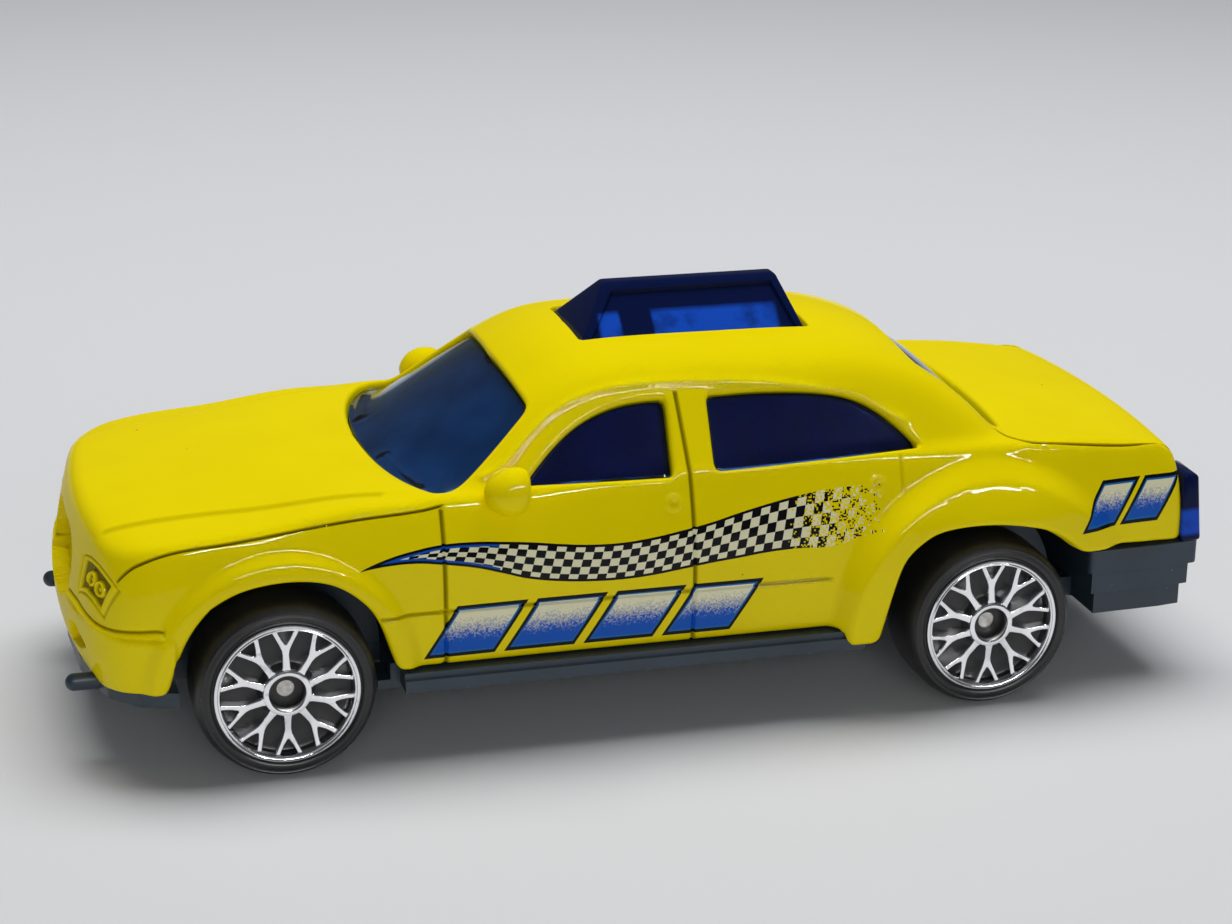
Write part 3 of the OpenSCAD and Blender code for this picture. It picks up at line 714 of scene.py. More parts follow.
fine = [grid(0.09, q - 0.75, q + 0.75) for q in DIMPLES]
light = grid(0.08, HEADLIGHT.min(0) - 0.6, HEADLIGHT.max(0) + 0.6)
mouth = grid(0.16, MOUTH.min(0), MOUTH.max(0))
fine += [light[by_headlight(light, 1.35)], mouth[inside(mouth, MOUTH)]]
fine = away_from(np.vstack(fine), LOOPS, 0.05)

marks = [(line, False) for line, *_ in GROOVES + RECESSES]
body = away_from(spread(BORDER, 0.5, 0.2), LOOPS + marks, 0.34)
body = body[~by_headlight(body, 1.4) & ~inside(body, MOUTH)]
points = np.vstack([rows, fine, body])
middle_line = on_middle(BORDER, 0.3, 0.2, 0.3)
points = np.vstack([points[points[:, 1] > 0.06], middle_line])
print("points on one half of the shell:", len(points))

# %% Casting the shell
WALL = 1.1
places, faces = triangles(points, LOOPS)
outer = on_form(places)
painted = outer + outward(outer) * relief(places, outer)[:, None]

coarse = away_from(spread(BORDER, 1.2, 1.2), LOOPS, 0.5)
inner_places, inner_faces = triangles(np.vstack([coarse, middle_line[::4]]), LOOPS)
inner = on_form(inner_places)
inner = inner - outward(inner) * WALL

rim_out = rim(places, faces)
number = {tuple(q): i for i, q in enumerate(inner_places.round(5).tolist())}
rim_in = [(number[tuple(a)], number[tuple(b)]) for a, b in places[rim_out].round(5).tolist()]
verts, shell_faces = close_shell(painted, faces, inner, inner_faces, rim_out, rim_in)
# Painted shade in the creases for the outer skin's points; the inner skin and the mirrors get none.
crease_shade = np.concatenate([painted_crease_shade(places, outer), np.zeros(len(inner))])
crease_shade = np.concatenate([crease_shade, crease_shade[np.abs(verts[:, 1]) >= 1e-6]])
verts, shell_faces = mirrored(verts, shell_faces)
print("outer skin:", len(faces), "triangles a side; inner:", len(inner_faces))

# %% [markdown]
# ## Door mirrors
# The mirrors are part of the casting: small pods, round in front and flat behind. A sphere of
# rings with its back half pressed flat gives that shape with few faces and no seam.

# %% Mirror pods
MIRROR_AT = (10.3, 13.5, 16.9)
MIRROR_SIZE = (1.6, 1.5, 1.5)
BACK_REACH, BACK_PRESS, CHIN, LEAN = 0.72, 2.2, 0.15, 0.12


def pod(rings=18, sectors=28):
    """The left mirror: a ball with its back pressed flat, its chin drawn in, leaning back."""
    up = np.linspace(-math.pi / 2, math.pi / 2, rings + 1)[1:-1]
    tall, turn = np.meshgrid(up, np.arange(sectors) * math.tau / sectors, indexing="ij")
    ball = np.stack([np.cos(tall) * np.cos(turn), np.cos(tall) * np.sin(turn), np.sin(tall)], axis=2)
    verts = np.vstack([ball.reshape(-1, 3), [(0, 0, -1), (0, 0, 1)]])
    faces = band(rings - 1, sectors, rings - 2)
    last, low = (rings - 2) * sectors, (rings - 1) * sectors
    for j in range(sectors):
        k = (j + 1) % sectors
        faces += [(low, k, j), (low + 1, last + j, last + k)]
    back = verts[:, 0] < 0
    verts[back, 0] = -BACK_REACH * np.tanh(BACK_PRESS * -verts[back, 0])
    verts[:, 0] += CHIN * np.minimum(verts[:, 2], 0) * (verts[:, 0] > 0)
    verts[:, 0] -= LEAN * verts[:, 2]
    return verts * MIRROR_SIZE + MIRROR_AT, faces


casting = piece("painted_shell", *join_meshes((verts, shell_faces), both_sides(*pod())))
shade_layer = casting.data.attributes.new("painted_crease_shade", "FLOAT", "POINT")
shade_layer.data.foreach_set("value", np.pad(crease_shade, (0, len(casting.data.vertices) - len(crease_shade))))

# %% [markdown]
# ## The tinted moulding
# All the windows are one blue plastic moulding that lies under the roof and comes up into each
# opening. Separate panes would be easier, but would show gaps that the toy doesn't have. The same
# chart gives it: a skin just under the casting, raised into each window almost to the surface.

# %% Windows
UNDER_CASTING, PANE_SUNK, PANE_THICK, PANE_EDGE = 1.22, 0.42, 0.8, 0.13
WIPER_RISE, WIPER_WIDTH, LINING_GAP, LINING_THICK = 0.15, 0.3, 0.03, 0.1
glass_border = even(rounded([tuple(q) for q in unfold([
    (19.0, 0, 17), (18.6, 6, 17), (17.4, 10, 16.6), (15.6, 12.6, 16.0), (13, 13, 15.95), (0, 13, 15.95),
    (-17, 13, 16.2), (-22, 12.2, 16.6), (-25.0, 11.2, 16.8), (-25.7, 8, 16.8), (-25.7, 0, 17)])]), 0.4)
WIPER = trace([(16.6, 3.9), (16.1, 7.0), (15.3, 9.6)], "top")
PANES = [(line, closed) for name, line, closed, _ in OPENINGS if name != "sign_slot"]
BESIDE_PANE = (-0.3, -0.22, -0.16, -0.12, -0.08, -0.04, 0.0, 0.04, 0.08, 0.12, 0.16, 0.22, 0.3)


def moulding_depth(chart, points):
    """How deep the moulding lies under the form: little in a window, more beside it."""
    depth = np.full(len(chart), UNDER_CASTING)
    for line, closed in PANES:
        gap = gap_to(points, line, closed, limit=0.4) * np.where(inside(chart, line), -1, 1)
        depth -= (UNDER_CASTING - PANE_SUNK) * ramp(-0.03, -0.03 - PANE_EDGE, gap)
    return depth - WIPER_RISE * np.exp(-(gap_to(points, WIPER, limit=0.8) / WIPER_WIDTH) ** 2)


pane_rows = thin(np.vstack([rows_beside(line, BESIDE_PANE, closed) for line, closed in PANES]), 0.03)
pane_fill = away_from(spread(glass_border, 0.6, 0.3), PANES, 0.36)
pane_fill = away_from(pane_fill, [(WIPER, False)], 0.75)
by_wiper = grid(0.13, WIPER.min(0) - 0.8, WIPER.max(0) + 0.8)
by_wiper = by_wiper[gap_to(on_form(by_wiper), WIPER, limit=0.8) < 0.75]
by_wiper = away_from(thin(by_wiper, 0.05), PANES, 0.33)
glass_points = np.vstack([pane_rows, pane_fill, by_wiper])
glass_points = away_from(glass_points[glass_points[:, 1] > 0.05], [(glass_border, False)], 0.1)
glass_points = np.vstack([glass_points, on_middle(glass_border, 0.2, 0.1, 0.25)])
glass_places, glass_faces = triangles(glass_points, [(glass_border, False)])
glass_rim = rim(glass_places, glass_faces)
under = on_form(glass_places)
facing = outward(under)


def sheet(name, top, foot):
    """A piece between two depths under the form."""
    return piece(name, *mirrored(*close_shell(under - facing * top, glass_faces, under - facing * foot,
                                              glass_faces, glass_rim, glass_rim.tolist())))


depth = moulding_depth(glass_places, under)[:, None]
glazing = sheet("window_moulding", depth, depth + PANE_THICK)

# A thin dark sheet on the moulding's inside stands for its dark tint and, as painted shade, for the dark
# hollow behind the windows.
lining_depth = depth + PANE_THICK + LINING_GAP
lining = sheet("window_shade_lining", lining_depth, lining_depth + LINING_THICK)

# %% [markdown]
# ## Roof sign and tail lamps
# The sign is a long tent with a sunk panel on each side, and its lettering is left out. Both it
# and the lamps are blocks with soft edges, so a cage of eight corners and a bevel is enough.

# %% Soft-edged blocks
PANEL_INSET, PANEL_STEP, PANEL_DEPTH = 0.75, 0.16, 0.25


def block(low, high, bevel, panels=()):
    """A closed block between two rings of four corners, its edges rounded and some sides sunk."""
    mesh = bmesh.new()
    ring = [mesh.verts.new(c) for c in (*low, *high)]
    sides = [(0, 1, 5, 4), (1, 2, 6, 5), (2, 3, 7, 6), (3, 0, 4, 7), (3, 2, 1, 0), (4, 5, 6, 7)]
    made = [mesh.faces.new([ring[i] for i in side]) for side in sides]
    bmesh.ops.recalc_face_normals(mesh, faces=mesh.faces)
    hard = list(mesh.edges)
    for face in [made[i] for i in panels]:
        inward = -PANEL_DEPTH * face.normal
        for thickness in (PANEL_INSET, PANEL_STEP):
            bmesh.ops.inset_individual(mesh, faces=[face], thickness=thickness)
        bmesh.ops.translate(mesh, verts=face.verts, vec=inward)
    bmesh.ops.bevel(mesh, geom=hard, offset=bevel, segments=4, profile=0.5, affect="EDGES")
    bmesh.ops.triangulate(mesh, faces=[f for f in mesh.faces if len(f.verts) > 4])
    mesh.verts.index_update()
    faces = [tuple(v.index for v in f.verts) for f in mesh.faces]
    verts = np.array([tuple(v.co) for v in mesh.verts])
    mesh.free()
    return verts, faces


def level_ring(front, back, half, z):
    """Four corners of a level rectangle astride the middle."""
    return [(front, -half, z), (front, half, z), (back, half, z), (back, -half, z)]


sign_low, sign_high = level_ring(3.8, -12.35, 4.9, 22.4), level_ring(0.9, -11.0, 0.6, 26.28)
sign = piece("roof_sign", *block(sign_low, sign_high, 0.28, panels=(1, 3)), smooth=40)

lamp_low = [(-35.9, 13.25, 9.35), (-37.45, 13.1, 9.35), (-37.5, 9.0, 9.35), (-36.3, 9.0, 9.35)]
lamp_high = [(-36.0, 12.8, 14.05), (-37.25, 12.55, 13.8), (-37.35, 9.3, 13.8), (-36.2, 9.3, 14.05)]
tail_lamps = piece("tail_lamps", *both_sides(*block(lamp_low, lamp_high, 0.25)), smooth=40)

# %% [markdown]
# ## Dark walls of painted shade inside the wheel arches
# The toy is hollow, and from a low angle one would look in past a tyre and out through the other
# side; the real toy shows only shade in there. A dark wall inboard of each wheel paints that shade
# and closes the view. Half a disc with a wall thickness is enough, because only its dark face is
# ever seen.

# %% Arch walls of painted shade
WALL_INNER_Y, WALL_OUTER_Y, WALL_R, WALL_FOOT = 8.75, 8.98, 6.9, 4.9


def shade_wall(axle_x):
    """A half disc of painted shade, standing on the base beside the left wheel of an axle."""
    turn = np.linspace(0.03, math.pi - 0.03, 33)
    edge = np.stack([axle_x + WALL_R * np.cos(turn), AXLE_Z + WALL_R * np.sin(turn)], 1)
    edge = np.vstack([edge, [(edge[-1, 0], WALL_FOOT), (edge[0, 0], WALL_FOOT)]])
    n = len(edge)
    ring = [np.column_stack([edge[:, 0], np.full(n, y), edge[:, 1]]) for y in (WALL_INNER_Y, WALL_OUTER_Y)]
    return np.vstack(ring), band(2, n, 1) + [tuple(reversed(range(n))), tuple(range(n, 2 * n))]


walls = [shade_wall(axle_x) for axle_x in (FRONT_AXLE_X, REAR_AXLE_X)]
walls += [other_side(*wall) for wall in walls]
shade_walls = piece("shade_walls", *join_meshes(*walls), smooth=30)

# %% [markdown]
# ## Finishes
# Under a lens, no surface on a toy is one flat colour. Enamel has a faint orange-peel, moulded
# plastic keeps the grain of its steel mould, and foil wears thin. Two small groups are shared:
# every finish uses grain and some use specks, each with its own numbers, so all the finishes
# belong together.

# %% Writing sums as nodes
def plug(tree, socket, value):
    """Joins a Signal or a node's first output to a socket, or sets the socket's own value."""
    if isinstance(value, Signal):
        tree.links.new(value.socket, socket)
    elif isinstance(value, bpy.types.Node):
        tree.links.new(value.outputs[0], socket)
    else:
        socket.default_value = value


def add(tree, kind, **inputs):
    """A new node in a tree, with its inputs plugged by name."""
    node = tree.nodes.new(kind)
    for name, value in inputs.items():
        plug(tree, node.inputs[name.replace("_", " ")], value)
    return node


def read(tree, kind, output, **inputs):
    """A Signal from one output of a new node."""
    return Signal(tree, add(tree, kind, **inputs).outputs[output])


def sum_of(operation):
    return lambda signal, *others: signal.math(operation, *others)


class Signal:
    """A value that changes over a surface: sums done on it add Math nodes to its tree."""

    def __init__(self, tree, socket):
        self.tree, self.socket = tree, socket

    def math(self, operation, *others):
        node = self.tree.nodes.new("ShaderNodeMath")
        node.operation = operation
        for socket, value in zip(node.inputs, (self, *others)):
            plug(self.tree, socket, value)
        return Signal(self.tree, node.outputs[0])

    __add__, __sub__ = sum_of("ADD"), sum_of("SUBTRACT")
    __mul__, __truediv__ = sum_of("MULTIPLY"), sum_of("DIVIDE")
    above, below = sum_of("GREATER_THAN"), sum_of("LESS_THAN")
    least, most, floor = sum_of("MINIMUM"), sum_of("MAXIMUM"), sum_of("FLOOR")

    def wrap(self, length):
        return self - (self / length).floor() * length

    def flip(self):
        return self * -1.0 + 1.0

    def spread(self, low, high):
        """0 at low, 1 at high, and held outside them."""
        return read(self.tree, "ShaderNodeMapRange", "Result", Value=self, From_Min=low, From_Max=high)


def new_group(name, inputs, outputs, kind="ShaderNodeTree"):
    """An empty node group with named sockets; inputs are name: (kind, value)."""
    tree = bpy.data.node_groups.new(name, kind)
    for label, (socket_kind, value) in inputs.items():
        socket = tree.interface.new_socket(label, in_out="INPUT", socket_type=f"NodeSocket{socket_kind}")
        if value is not None:
            socket.default_value = value
    for label, socket_kind in outputs.items():
        tree.interface.new_socket(label, in_out="OUTPUT", socket_type=f"NodeSocket{socket_kind}")
    given, made = tree.nodes.new("NodeGroupInput"), tree.nodes.new("NodeGroupOutput")
    return tree, {k: Signal(tree, given.outputs[k]) for k in inputs}, made


def noise(tree, place, scale, detail=2.0):
    return read(tree, "ShaderNodeTexNoise", "Fac", Vector=place, Scale=scale, Detail=detail)


print("a Signal turns a + b into one Math node")

# %% Grain and specks
def grain_group():
    """Fine bumps and patchy roughness: place in mm, size of the grain, its height and its wear."""
    tree, given, made = new_group("grain", {
        "Place": ("Vector", None), "Scale": ("Float", 3.0), "Height": ("Float", 0.01),
        "Roughness": ("Float", 0.3), "Patchy": ("Float", 0.05)}, {"Normal": "Vector", "Roughness": "Float"})
    fine, broad = noise(tree, given["Place"], given["Scale"], 3.0), noise(tree, given["Place"], 0.16)
    bump = add(tree, "ShaderNodeBump", Distance=MM, Height=fine * given["Height"])
    plug(tree, made.inputs["Normal"], bump)
    plug(tree, made.inputs["Roughness"], given["Roughness"] + (broad - 0.5) * given["Patchy"] * 2.0)
    return tree


def specks_group():
    """Scattered dust: a mask that is 1 on each speck. Fewer is rarer."""
    tree, given, made = new_group("specks", {
        "Place": ("Vector", None), "Scale": ("Float", 0.5), "Size": ("Float", 0.05),
        "Fewer": ("Float", 0.8)}, {"Mask": "Float"})
    cell = add(tree, "ShaderNodeTexVoronoi", Vector=given["Place"], Scale=given["Scale"])
    near, colour = (Signal(tree, cell.outputs[name]) for name in ("Distance", "Color"))
    chance = read(tree, "ShaderNodeSeparateColor", 0, Color=colour)
    plug(tree, made.inputs["Mask"], near.below(given["Size"]) * chance.above(given["Fewer"]))
    return tree


GRAIN, SPECKS = grain_group(), specks_group()


class Finish:
    """A material on Object coordinates in millimetres, with its Principled shader at hand."""

    def __init__(self, name, colour, **sockets):
        self.material = bpy.data.materials.new(name)
        self.material.use_nodes = True
        self.tree = self.material.node_tree
        where = read(self.tree, "ShaderNodeTexCoord", "Object")
        self.place = add(self.tree, "ShaderNodeMapping", Vector=where, Scale=(1 / MM,) * 3)
        self.set(Base_Color=(*colour, 1), **sockets)

    def set(self, **sockets):
        for name, value in sockets.items():
            plug(self.tree, self.tree.nodes["Principled BSDF"].inputs[name.replace("_", " ")], value)

    def axes(self):
        """The place in mm, as three Signals."""
        node = add(self.tree, "ShaderNodeSeparateXYZ", Vector=self.place)
        return [Signal(self.tree, output) for output in node.outputs]

    def group(self, tree, **values):
        node = self.tree.nodes.new("ShaderNodeGroup")
        node.node_tree = tree
        for name, value in {"Place": self.place, **values}.items():
            plug(self.tree, node.inputs[name], value)
        return {o.name: Signal(self.tree, o) for o in node.outputs}

    def mix(self, mask, a, b):
        """Colour a where the mask is 0, b where it is 1."""
        node = self.tree.nodes.new("ShaderNodeMix")
        node.data_type = "RGBA"
        for i, value in ((0, mask), (6, a), (7, b)):
            plug(self.tree, node.inputs[i], (*value, 1) if isinstance(value, tuple) else value)
        return Signal(self.tree, node.outputs[2])

    def cloudy(self, scale, detail, low, high, a, b):
        """Colours a and b in soft clouds."""
        return self.mix(noise(self.tree, self.place, scale, detail).spread(low, high), a, b)

    def dusty(self, colour, dust, strength, **specks):
        """A colour with scattered dust on it."""
        return self.mix(self.group(SPECKS, **specks)["Mask"] * strength, colour, dust)

    def grain(self, scale, height, roughness, patchy):
        made = self.group(GRAIN, Scale=scale, Height=height, Roughness=roughness, Patchy=patchy)
        self.set(Normal=made["Normal"], Roughness=made["Roughness"])


print("groups:", GRAIN.name, "and", SPECKS.name)

# %% Plastic, foil and steel
def panes_sheen_and_shade(finish, scale, ends, sides):
    """Clouds of two lighter colours for the front and rear panes, a painted reflection, and of two darker
    others for the side windows, a painted shade.
    """
    x, y, _ = finish.axes()
    at_side = (y.math("ABSOLUTE") - (x - 8.0) * 0.45).spread(9.6, 10.6)
    end_colour, side_colour = (finish.cloudy(scale, 3.0, 0.3, 0.75, *pair) for pair in (ends, sides))
    finish.set(Base_Color=finish.mix(at_side, end_colour, side_colour))


# The same plastic is lighter in the front and rear panes, a painted reflection, and darker in the side
# windows, a painted shade.
tint = Finish("tinted_plastic", (0.012, 0.06, 0.50), IOR=1.45, Transmission_Weight=1.0)
panes_sheen_and_shade(tint, 0.3, ((0.10, 0.24, 0.42), (0.17, 0.36, 0.62)), ((0.03, 0.12, 0.42), (0.06, 0.19, 0.62)))
tint.grain(1.2, 0.004, 0.07, 0.02)

# The lining's colour: near black behind the side windows, a painted shade, and light grey-blue behind the
# front and rear panes, a painted reflection of haze.
lining_tint_shade_sheen = Finish("tint_painted_shade_and_sheen", (0.004, 0.018, 0.11))
panes_sheen_and_shade(lining_tint_shade_sheen, 0.2, ((0.13, 0.30, 0.40), (0.22, 0.46, 0.62)),
             ((0.001, 0.003, 0.012), (0.004, 0.012, 0.06)))
lining_tint_shade_sheen.grain(1.0, 0.01, 0.5, 0.1)

block_tint = Finish("block_plastic", (0.004, 0.012, 0.06), IOR=1.45, Specular_IOR_Level=0.14)
block_x, _, block_z = block_tint.axes()
lit_panel = block_z.spread(24.75, 24.45) * block_x.spread(1.9, 1.6) * block_x.spread(-10.6, -10.2)
lit_panel = lit_panel * (block_x.spread(-2.0, -1.8) * block_x.spread(0.4, 0.2)).flip()
lit_lamp = block_z.spread(11.7, 11.4) * block_z.spread(9.7, 10.0) * block_x.below(-30.0)
lit = (lit_panel.least(block_z.above(20.0)) + lit_lamp) * noise(
    block_tint.tree, block_tint.place, 0.5, 3.0).spread(0.2, 0.5)
block_tint.set(Base_Color=block_tint.mix(lit, (0.003, 0.008, 0.05), (0.008, 0.07, 0.52)))
block_tint.grain(1.2, 0.006, 0.10, 0.03)

slate = Finish("base_plastic", (0.045, 0.068, 0.092))
slate_tone = slate.cloudy(0.25, 4.0, 0.3, 0.75, (0.018, 0.032, 0.048), (0.028, 0.047, 0.068))
slate.set(Base_Color=slate.dusty(slate_tone, (0.16, 0.17, 0.18), 0.5, Scale=0.9, Size=0.07, Fewer=0.86))
slate.grain(2.4, 0.012, 0.42, 0.09)

rubber = Finish("wheel_plastic", (0.012, 0.012, 0.013))
rubber_tone = rubber.cloudy(0.5, 3.0, 0.3, 0.8, (0.010, 0.010, 0.011), (0.022, 0.022, 0.023))
rubber.set(Base_Color=rubber.dusty(rubber_tone, (0.10, 0.10, 0.10), 0.4, Scale=1.4, Size=0.08, Fewer=0.8))
rubber.grain(3.5, 0.012, 0.40, 0.10)

foil = Finish("wheel_foil", (0.88, 0.88, 0.90), Metallic=1.0)
foil.set(Base_Color=foil.cloudy(1.1, 4.0, 0.62, 0.78, (0.90, 0.90, 0.92), (0.35, 0.35, 0.36)))
foil.grain(2.2, 0.012, 0.13, 0.06)

pin_steel = Finish("pin_steel", (0.55, 0.53, 0.50), Metallic=1.0)
pin_steel.set(Base_Color=pin_steel.cloudy(2.5, 4.0, 0.35, 0.7, (0.42, 0.40, 0.37), (0.66, 0.64, 0.60)))
pin_steel.grain(6.0, 0.02, 0.34, 0.10)
print("finishes:", [m.name for m in bpy.data.materials])

# %% [markdown]
# ## Enamel and its printed stripe
# The yellow enamel carries a printed stripe of black and cream checks that swells along the doors
# and breaks up into dots, and a row of slanted blocks that fade from cream to blue. The print is
# worked out from the place on the side, so it has no picture behind it. Two float curves hold the
# stripe's upper and lower edge; everything else is sums on those. Lettering is left out, and plain
# blocks stand where it was.

# %% Stripe edges
STRIPE_TOP = [(19.9, 12.7), (18.05, 13.34), (16.4, 13.67), (14.53, 13.88), (12.65, 13.87), (10.78, 13.72),
              (8.9, 13.52), (7.01, 13.26), (5.11, 13.06), (3.2, 13.01), (1.26, 13.15), (-0.69, 13.43),
              (-2.66, 13.78), (-4.64, 14.25), (-6.63, 14.67), (-8.64, 15.02), (-10.65, 15.25),
              (-12.66, 15.33),
              (-14.4, 15.35)]
STRIPE_FOOT = [(19.9, 12.7), (18.07, 12.89), (16.45, 12.89), (14.59, 12.64), (12.73, 12.3), (10.86, 11.77),
               (8.98, 11.21), (7.0, 10.88), (5.16, 10.71), (3.24, 10.65), (1.3, 10.74), (-0.64, 10.96),
               (-2.6, 11.2), (-4.57, 11.39), (-6.55, 11.59), (-8.54, 11.66), (-10.54, 11.6), (-12.4, 12.0),
               (-14.4, 12.6)]
STRIPE_BACK, STRIPE_FRONT, STRIPE_LOW, STRIPE_HIGH = -14.4, 19.9, 10.0, 16.0


def edge_curve(x, points):
    """A float curve through (x, z) points in mm, as a Signal."""
    node = x.tree.nodes.new("ShaderNodeFloatCurve")
    curve = node.mapping.curves[0]
    places = sorted(((px - STRIPE_BACK) / (STRIPE_FRONT - STRIPE_BACK),
                     (pz - STRIPE_LOW) / (STRIPE_HIGH - STRIPE_LOW)) for px, pz in points)
    curve.points[0].location, curve.points[1].location = places[0], places[-1]
    for place in places[1:-1]:
        curve.points.new(*place)
    node.mapping.update()
    plug(x.tree, node.inputs["Value"], x.spread(STRIPE_BACK, STRIPE_FRONT))
    return Signal(x.tree, node.outputs[0]) * (STRIPE_HIGH - STRIPE_LOW) + STRIPE_LOW


print("stripe runs from", STRIPE_BACK, "to", STRIPE_FRONT, "mm")

# %% Stripe and blocks
CHECK_ROWS, CHECK_LENGTH = 5.0, 0.61
BLOCK_PITCH, BLOCK_LENGTH, BLOCK_SLANT, BLOCK_RIM = 5.15, 4.55, 0.62, 0.24
OUTLINE_WIDTH, BLUE_EDGE = 0.17, 0.30
BLACK, CREAM, BLUE = (0.006, 0.006, 0.008), (0.80, 0.77, 0.52), (0.008, 0.09, 0.48)

enamel = Finish("yellow_enamel", (0.81, 0.665, 0.0), Specular_IOR_Level=0.0, Coat_Weight=0.28,
                Coat_Roughness=0.035, Coat_IOR=1.5)
x, y, z = enamel.axes()
on_side = y.math("ABSOLUTE").above(12.0)


def printed_cells(size):
    """A random number for each little cell of the side, as a halftone screen has."""
    cell = add(enamel.tree, "ShaderNodeCombineXYZ", X=(x / size).floor(), Z=(z / size).floor())
    return read(enamel.tree, "ShaderNodeTexWhiteNoise", "Value", Vector=cell)


top, foot = edge_curve(x, STRIPE_TOP), edge_curve(x, STRIPE_FOOT)
rise = (z - foot) / (top - foot).most(0.05)
edge = (top - z).least(z - foot)
row = (rise * CHECK_ROWS).floor()
column = (x / CHECK_LENGTH + rise * 1.1).floor()
check = (row + column).wrap(2.0).above(0.5)
outline = edge.below(OUTLINE_WIDTH) * x.above(-9.5)
blue_line = edge.above(OUTLINE_WIDTH) * edge.below(BLUE_EDGE) * x.above(11.0)
stripe_colour = enamel.mix(blue_line, enamel.mix(check, CREAM, BLACK), BLUE)
stripe_colour = enamel.mix(outline, stripe_colour, BLACK)
breaking_up = x.spread(-14.4, -6.5)
stripe_there = edge.above(0.0) * printed_cells(0.10).below(breaking_up * 1.15 + 0.03)
stripe_there = stripe_there * on_side * x.above(STRIPE_BACK + 0.1) * x.below(STRIPE_FRONT - 0.1)
print("stripe:", CHECK_ROWS, "rows of checks", CHECK_LENGTH, "mm long")


def slanted_blocks(front, low, high, count, pitch, length):
    """(mask, colour) of a row of leaning blocks, dark at the rim and fading from cream to blue."""
    along = x * -1.0 + front - (z - low) * BLOCK_SLANT
    here = along.wrap(pitch)
    rim_gap = here.least(here * -1.0 + length).least(z - low).least(z * -1.0 + high)
    within = rim_gap.above(0.0) * along.above(0.0) * along.below(count * pitch)
    fade = (z - low) / (high - low) + (printed_cells(0.09) - 0.5) * 0.22
    fill = enamel.mix(fade.spread(0.38, 0.72), BLUE, CREAM)
    fill = enamel.mix(rim_gap.below(BLOCK_RIM + 0.12), fill, (0.01, 0.14, 0.42))
    return within * on_side, enamel.mix(rim_gap.below(BLOCK_RIM), fill, BLACK)


colour = enamel.cloudy(0.12, 2.0, 0.3, 0.7, (0.86, 0.70, 0.0), (0.82, 0.66, 0.0))
colour = enamel.dusty(colour, (0.16, 0.12, 0.02), 1.0, Scale=0.42, Size=0.035, Fewer=0.82)
# Painted shade: the enamel goes dark olive where the mesh's shade attribute says shade falls in creases and
# recesses.
shade_node = enamel.tree.nodes.new("ShaderNodeAttribute")
shade_node.attribute_name = "painted_crease_shade"
colour = enamel.mix(Signal(enamel.tree, shade_node.outputs["Fac"]) * 0.85, colour, (0.12, 0.085, 0.0))
for there, print_colour in ((stripe_there, stripe_colour),
                            slanted_blocks(15.9, 6.45, 9.9, 4, BLOCK_PITCH, BLOCK_LENGTH),
                            slanted_blocks(-28.0, 11.1, 14.2, 2, 3.2, 2.85)):
    colour = enamel.mix(there, colour, print_colour)
enamel.set(Base_Color=colour)
enamel.grain(0.9, 0.005, 0.24, 0.05)
print("enamel has", len(enamel.tree.nodes), "nodes")

# %% [markdown]
# ## Wheels
# A wheel is one black moulding with bright foil on its rim, hub and spokes. The tyre is turned
# from a profile, as on a lathe. The ten forked spokes repeat, so one is drawn and Geometry Nodes
# sets it round the axle: changing the count or the gap is then one number.

# %% Turning a profile
def turned(profile, sectors=96):
    """A closed ring turned about Y from (radius, depth from the outer face) points."""
    profile = np.array(profile, float)
    angle = np.arange(sectors) * math.tau / sectors
    r, t = profile.T
    x = r[None] * np.cos(angle)[:, None]
    z = r[None] * np.sin(angle)[:, None]
    y = np.broadcast_to(-t[None], x.shape)
    return np.stack([x, y, z], axis=2).reshape(-1, 3), band(sectors, len(profile), sectors)


FACE_Y = 15.5
TYRE_PROFILE = [
    (0.55, 5.1), (0.55, 1.0), (1.1, 1.0), (1.15, 0.92), (1.16, 0.3), (1.2, 0.24), (1.42, 0.24), (1.5, 0.34),
    (1.8, 0.95), (2.0, 1.05), (3.9, 1.05), (4.06, 0.95), (4.14, 0.3), (4.2, 0.12), (4.3, 0.08), (4.52, 0.08),
    (4.56, 0.2), (4.66, 0.24), (4.74, 0.14), (4.85, 0.1), (5.0, 0.12), (5.12, 0.2), (5.2, 0.2), (5.26, 0.16),
    (5.4, 0.3), (5.53, 0.52), (5.62, 0.82), (5.66, 1.2), (5.67, 1.7), (5.67, 3.6), (5.65, 4.1), (5.58, 4.6),
    (5.42, 4.95), (5.2, 5.12), (4.9, 5.18), (4.55, 5.18), (4.4, 5.05), (4.35, 4.8), (4.3, 2.3), (4.1, 2.1),
    (1.9, 2.1), (1.72, 2.3), (1.65, 4.95), (1.5, 5.1)]
RIM_PROFILE = [(4.08, 0.5), (4.12, 0.16), (4.17, 0.07), (4.23, 0.05), (4.29, 0.09), (4.33, 0.05),
               (4.42, 0.03), (4.49, 0.06), (4.53, 0.16), (4.5, 0.5)]
HUB_PROFILE = [(1.12, 0.6), (1.13, 0.24), (1.16, 0.17), (1.23, 0.13), (1.38, 0.14), (1.47, 0.18),
               (1.53, 0.3), (1.56, 0.6)]
print("tyre:", 2 * max(r for r, _ in TYRE_PROFILE), "mm across")

# %% One spoke
SPOKE_HALF = [(1.36, 0.32), (1.7, 0.23), (2.45, 0.20), (2.75, 0.25), (3.05, 0.38), (3.5, 0.60), (3.9, 0.80),
              (4.18, 0.93), (4.22, 0.58), (3.85, 0.44), (3.5, 0.27), (3.15, 0.04)]
SPOKE_TOP, SPOKE_FOOT, SPOKE_SAG, SPOKE_START, SPOKE_LENGTH = 0.26, 1.1, 0.14, 1.5, 2.7


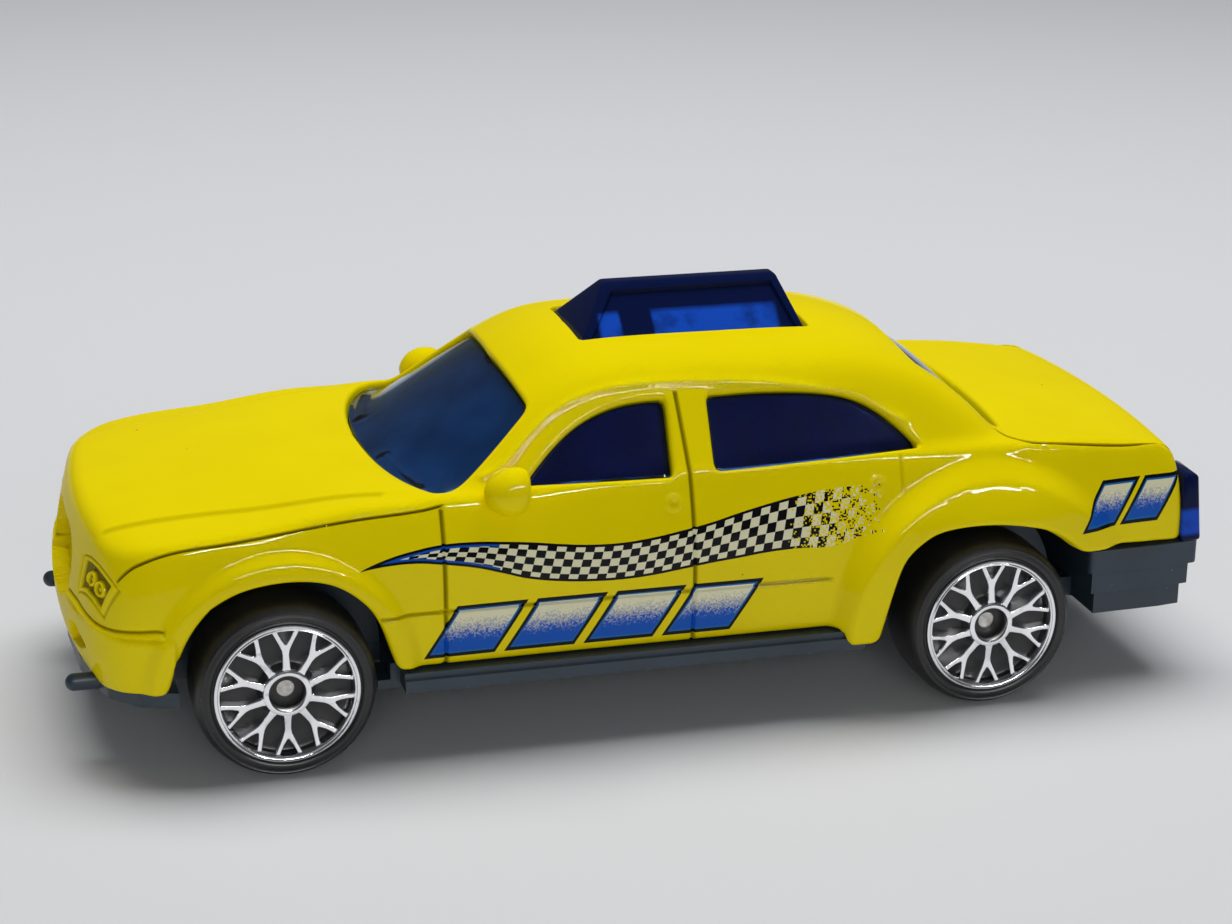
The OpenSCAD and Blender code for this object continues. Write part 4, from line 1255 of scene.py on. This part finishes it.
def one_spoke():
    """A forked spoke that stands up the Z axis, its face sagging a little in the middle."""
    outline = SPOKE_HALF + [(r, -s) for r, s in reversed(SPOKE_HALF)]
    mesh = bmesh.new()
    face = mesh.faces.new([mesh.verts.new((s, -SPOKE_FOOT, r)) for r, s in outline])
    result = bmesh.ops.extrude_face_region(mesh, geom=[face])
    top = [v for v in result["geom"] if isinstance(v, bmesh.types.BMVert)]
    for v in top:
        along = min(max((v.co.z - SPOKE_START) / SPOKE_LENGTH, 0), 1)
        v.co.y = -(SPOKE_TOP + SPOKE_SAG * math.sin(math.pi * along))
    bmesh.ops.recalc_face_normals(mesh, faces=mesh.faces)
    edges = [e for e in mesh.edges if all(v in top for v in e.verts)]
    bmesh.ops.bevel(mesh, geom=edges, offset=0.075, segments=3, profile=0.5, affect="EDGES")
    bmesh.ops.triangulate(mesh, faces=[f for f in mesh.faces if len(f.verts) > 4])
    data = bpy.data.meshes.new("one_spoke")
    mesh.to_mesh(data)
    mesh.free()
    return data


spoke = one_spoke()
print("one spoke:", len(spoke.polygons), "faces")

# %% Spokes round the axle
SPOKES = 10


def ring_tree():
    """A node tree that sets its input geometry round the Y axis."""
    tree, given, made = new_group("ring_of_copies", {
        "Geometry": ("Geometry", None), "Count": ("Int", None), "Material": ("Material", None)},
        {"Geometry": "Geometry"}, "GeometryNodeTree")
    index = read(tree, "GeometryNodeInputIndex", "Index")
    turn = add(tree, "ShaderNodeCombineXYZ", Y=index / given["Count"] * math.tau)
    points = add(tree, "GeometryNodePoints", Count=given["Count"])
    copies = add(tree, "GeometryNodeInstanceOnPoints", Points=points, Instance=given["Geometry"],
                 Rotation=turn)
    real = add(tree, "GeometryNodeRealizeInstances", Geometry=copies)
    finished = add(tree, "GeometryNodeSetMaterial", Geometry=real, Material=given["Material"])
    plug(tree, made.inputs["Geometry"], finished)
    return tree


def run_tree(mesh, tree, values):
    """The plain mesh that a node tree makes from a mesh, with its inputs set by name."""
    holder = put("holder", mesh)
    modifier = holder.modifiers.new("nodes", "NODES")
    modifier.node_group = tree
    for item in tree.interface.items_tree:
        if item.in_out == "INPUT" and item.name in values:
            modifier[item.identifier] = values[item.name]
    evaluated = holder.evaluated_get(bpy.context.evaluated_depsgraph_get())
    result = bpy.data.meshes.new_from_object(evaluated)
    bpy.data.objects.remove(holder)
    return result


def mesh_lists(mesh):
    return np.array([tuple(v.co) for v in mesh.vertices]), [tuple(p.vertices) for p in mesh.polygons]


spoke_ring = mesh_lists(run_tree(spoke, ring_tree(), {"Count": SPOKES, "Material": foil.material}))
print("spoke ring:", len(spoke_ring[1]), "faces")

# %% Setting each wheel on its pin
WHEELS = {f"{end}_{side}": (x, 1 if side == "left" else -1)
          for end, x in (("front", FRONT_AXLE_X), ("rear", REAR_AXLE_X)) for side in ("left", "right")}


def at_wheel(verts, faces, x, side):
    """A wheel shape drawn round the origin, put at its axle end and turned to face outwards."""
    verts, faces = (verts, faces) if side > 0 else other_side(verts, faces)
    return verts + (x, side * FACE_Y, AXLE_Z), faces


tyre_shape = turned(TYRE_PROFILE)
bright_shape = join_meshes(turned(RIM_PROFILE), turned(HUB_PROFILE, 48), spoke_ring)
for name, (x, side) in WHEELS.items():
    for part, shape, finish, slot in (("tyre", tyre_shape, rubber, "wheel_plastic"),
                                      ("spokes", bright_shape, foil, "wheel_chrome")):
        made = piece(f"{name}_{part}", *at_wheel(*shape, x, side), smooth=35)
        made.data.materials.append(finish.material)
        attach(made, name)
        if part == "tyre":
            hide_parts(f"{name}_wheel")
print("wheels:", ", ".join(WHEELS))

# %% [markdown]
# ## Putting it together
# Every piece rides on a body, so that it moves with the right joint. The shell and the moulding
# take the place of the plain frame parts; the base and the pins keep theirs and get a finish.

# %% Finishes on pieces
for obj, finish, slot in ((casting, enamel, "body_paint"), (glazing, tint, "tinted_plastic"),
                          (lining, lining_tint_shade_sheen, "tinted_plastic"), (sign, block_tint, "tinted_plastic"),
                          (tail_lamps, block_tint, "tinted_plastic"), (shade_walls, slate, "base_plastic")):
    obj.data.materials.append(finish.material)
    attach(obj, "chassis")
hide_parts("body_casting")
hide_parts("window_insert")
for node, finish in (("base_plate", slate), ("front_axle", pin_steel), ("rear_axle", pin_steel)):
    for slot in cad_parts[node].material_slots:
        slot.material = finish.material
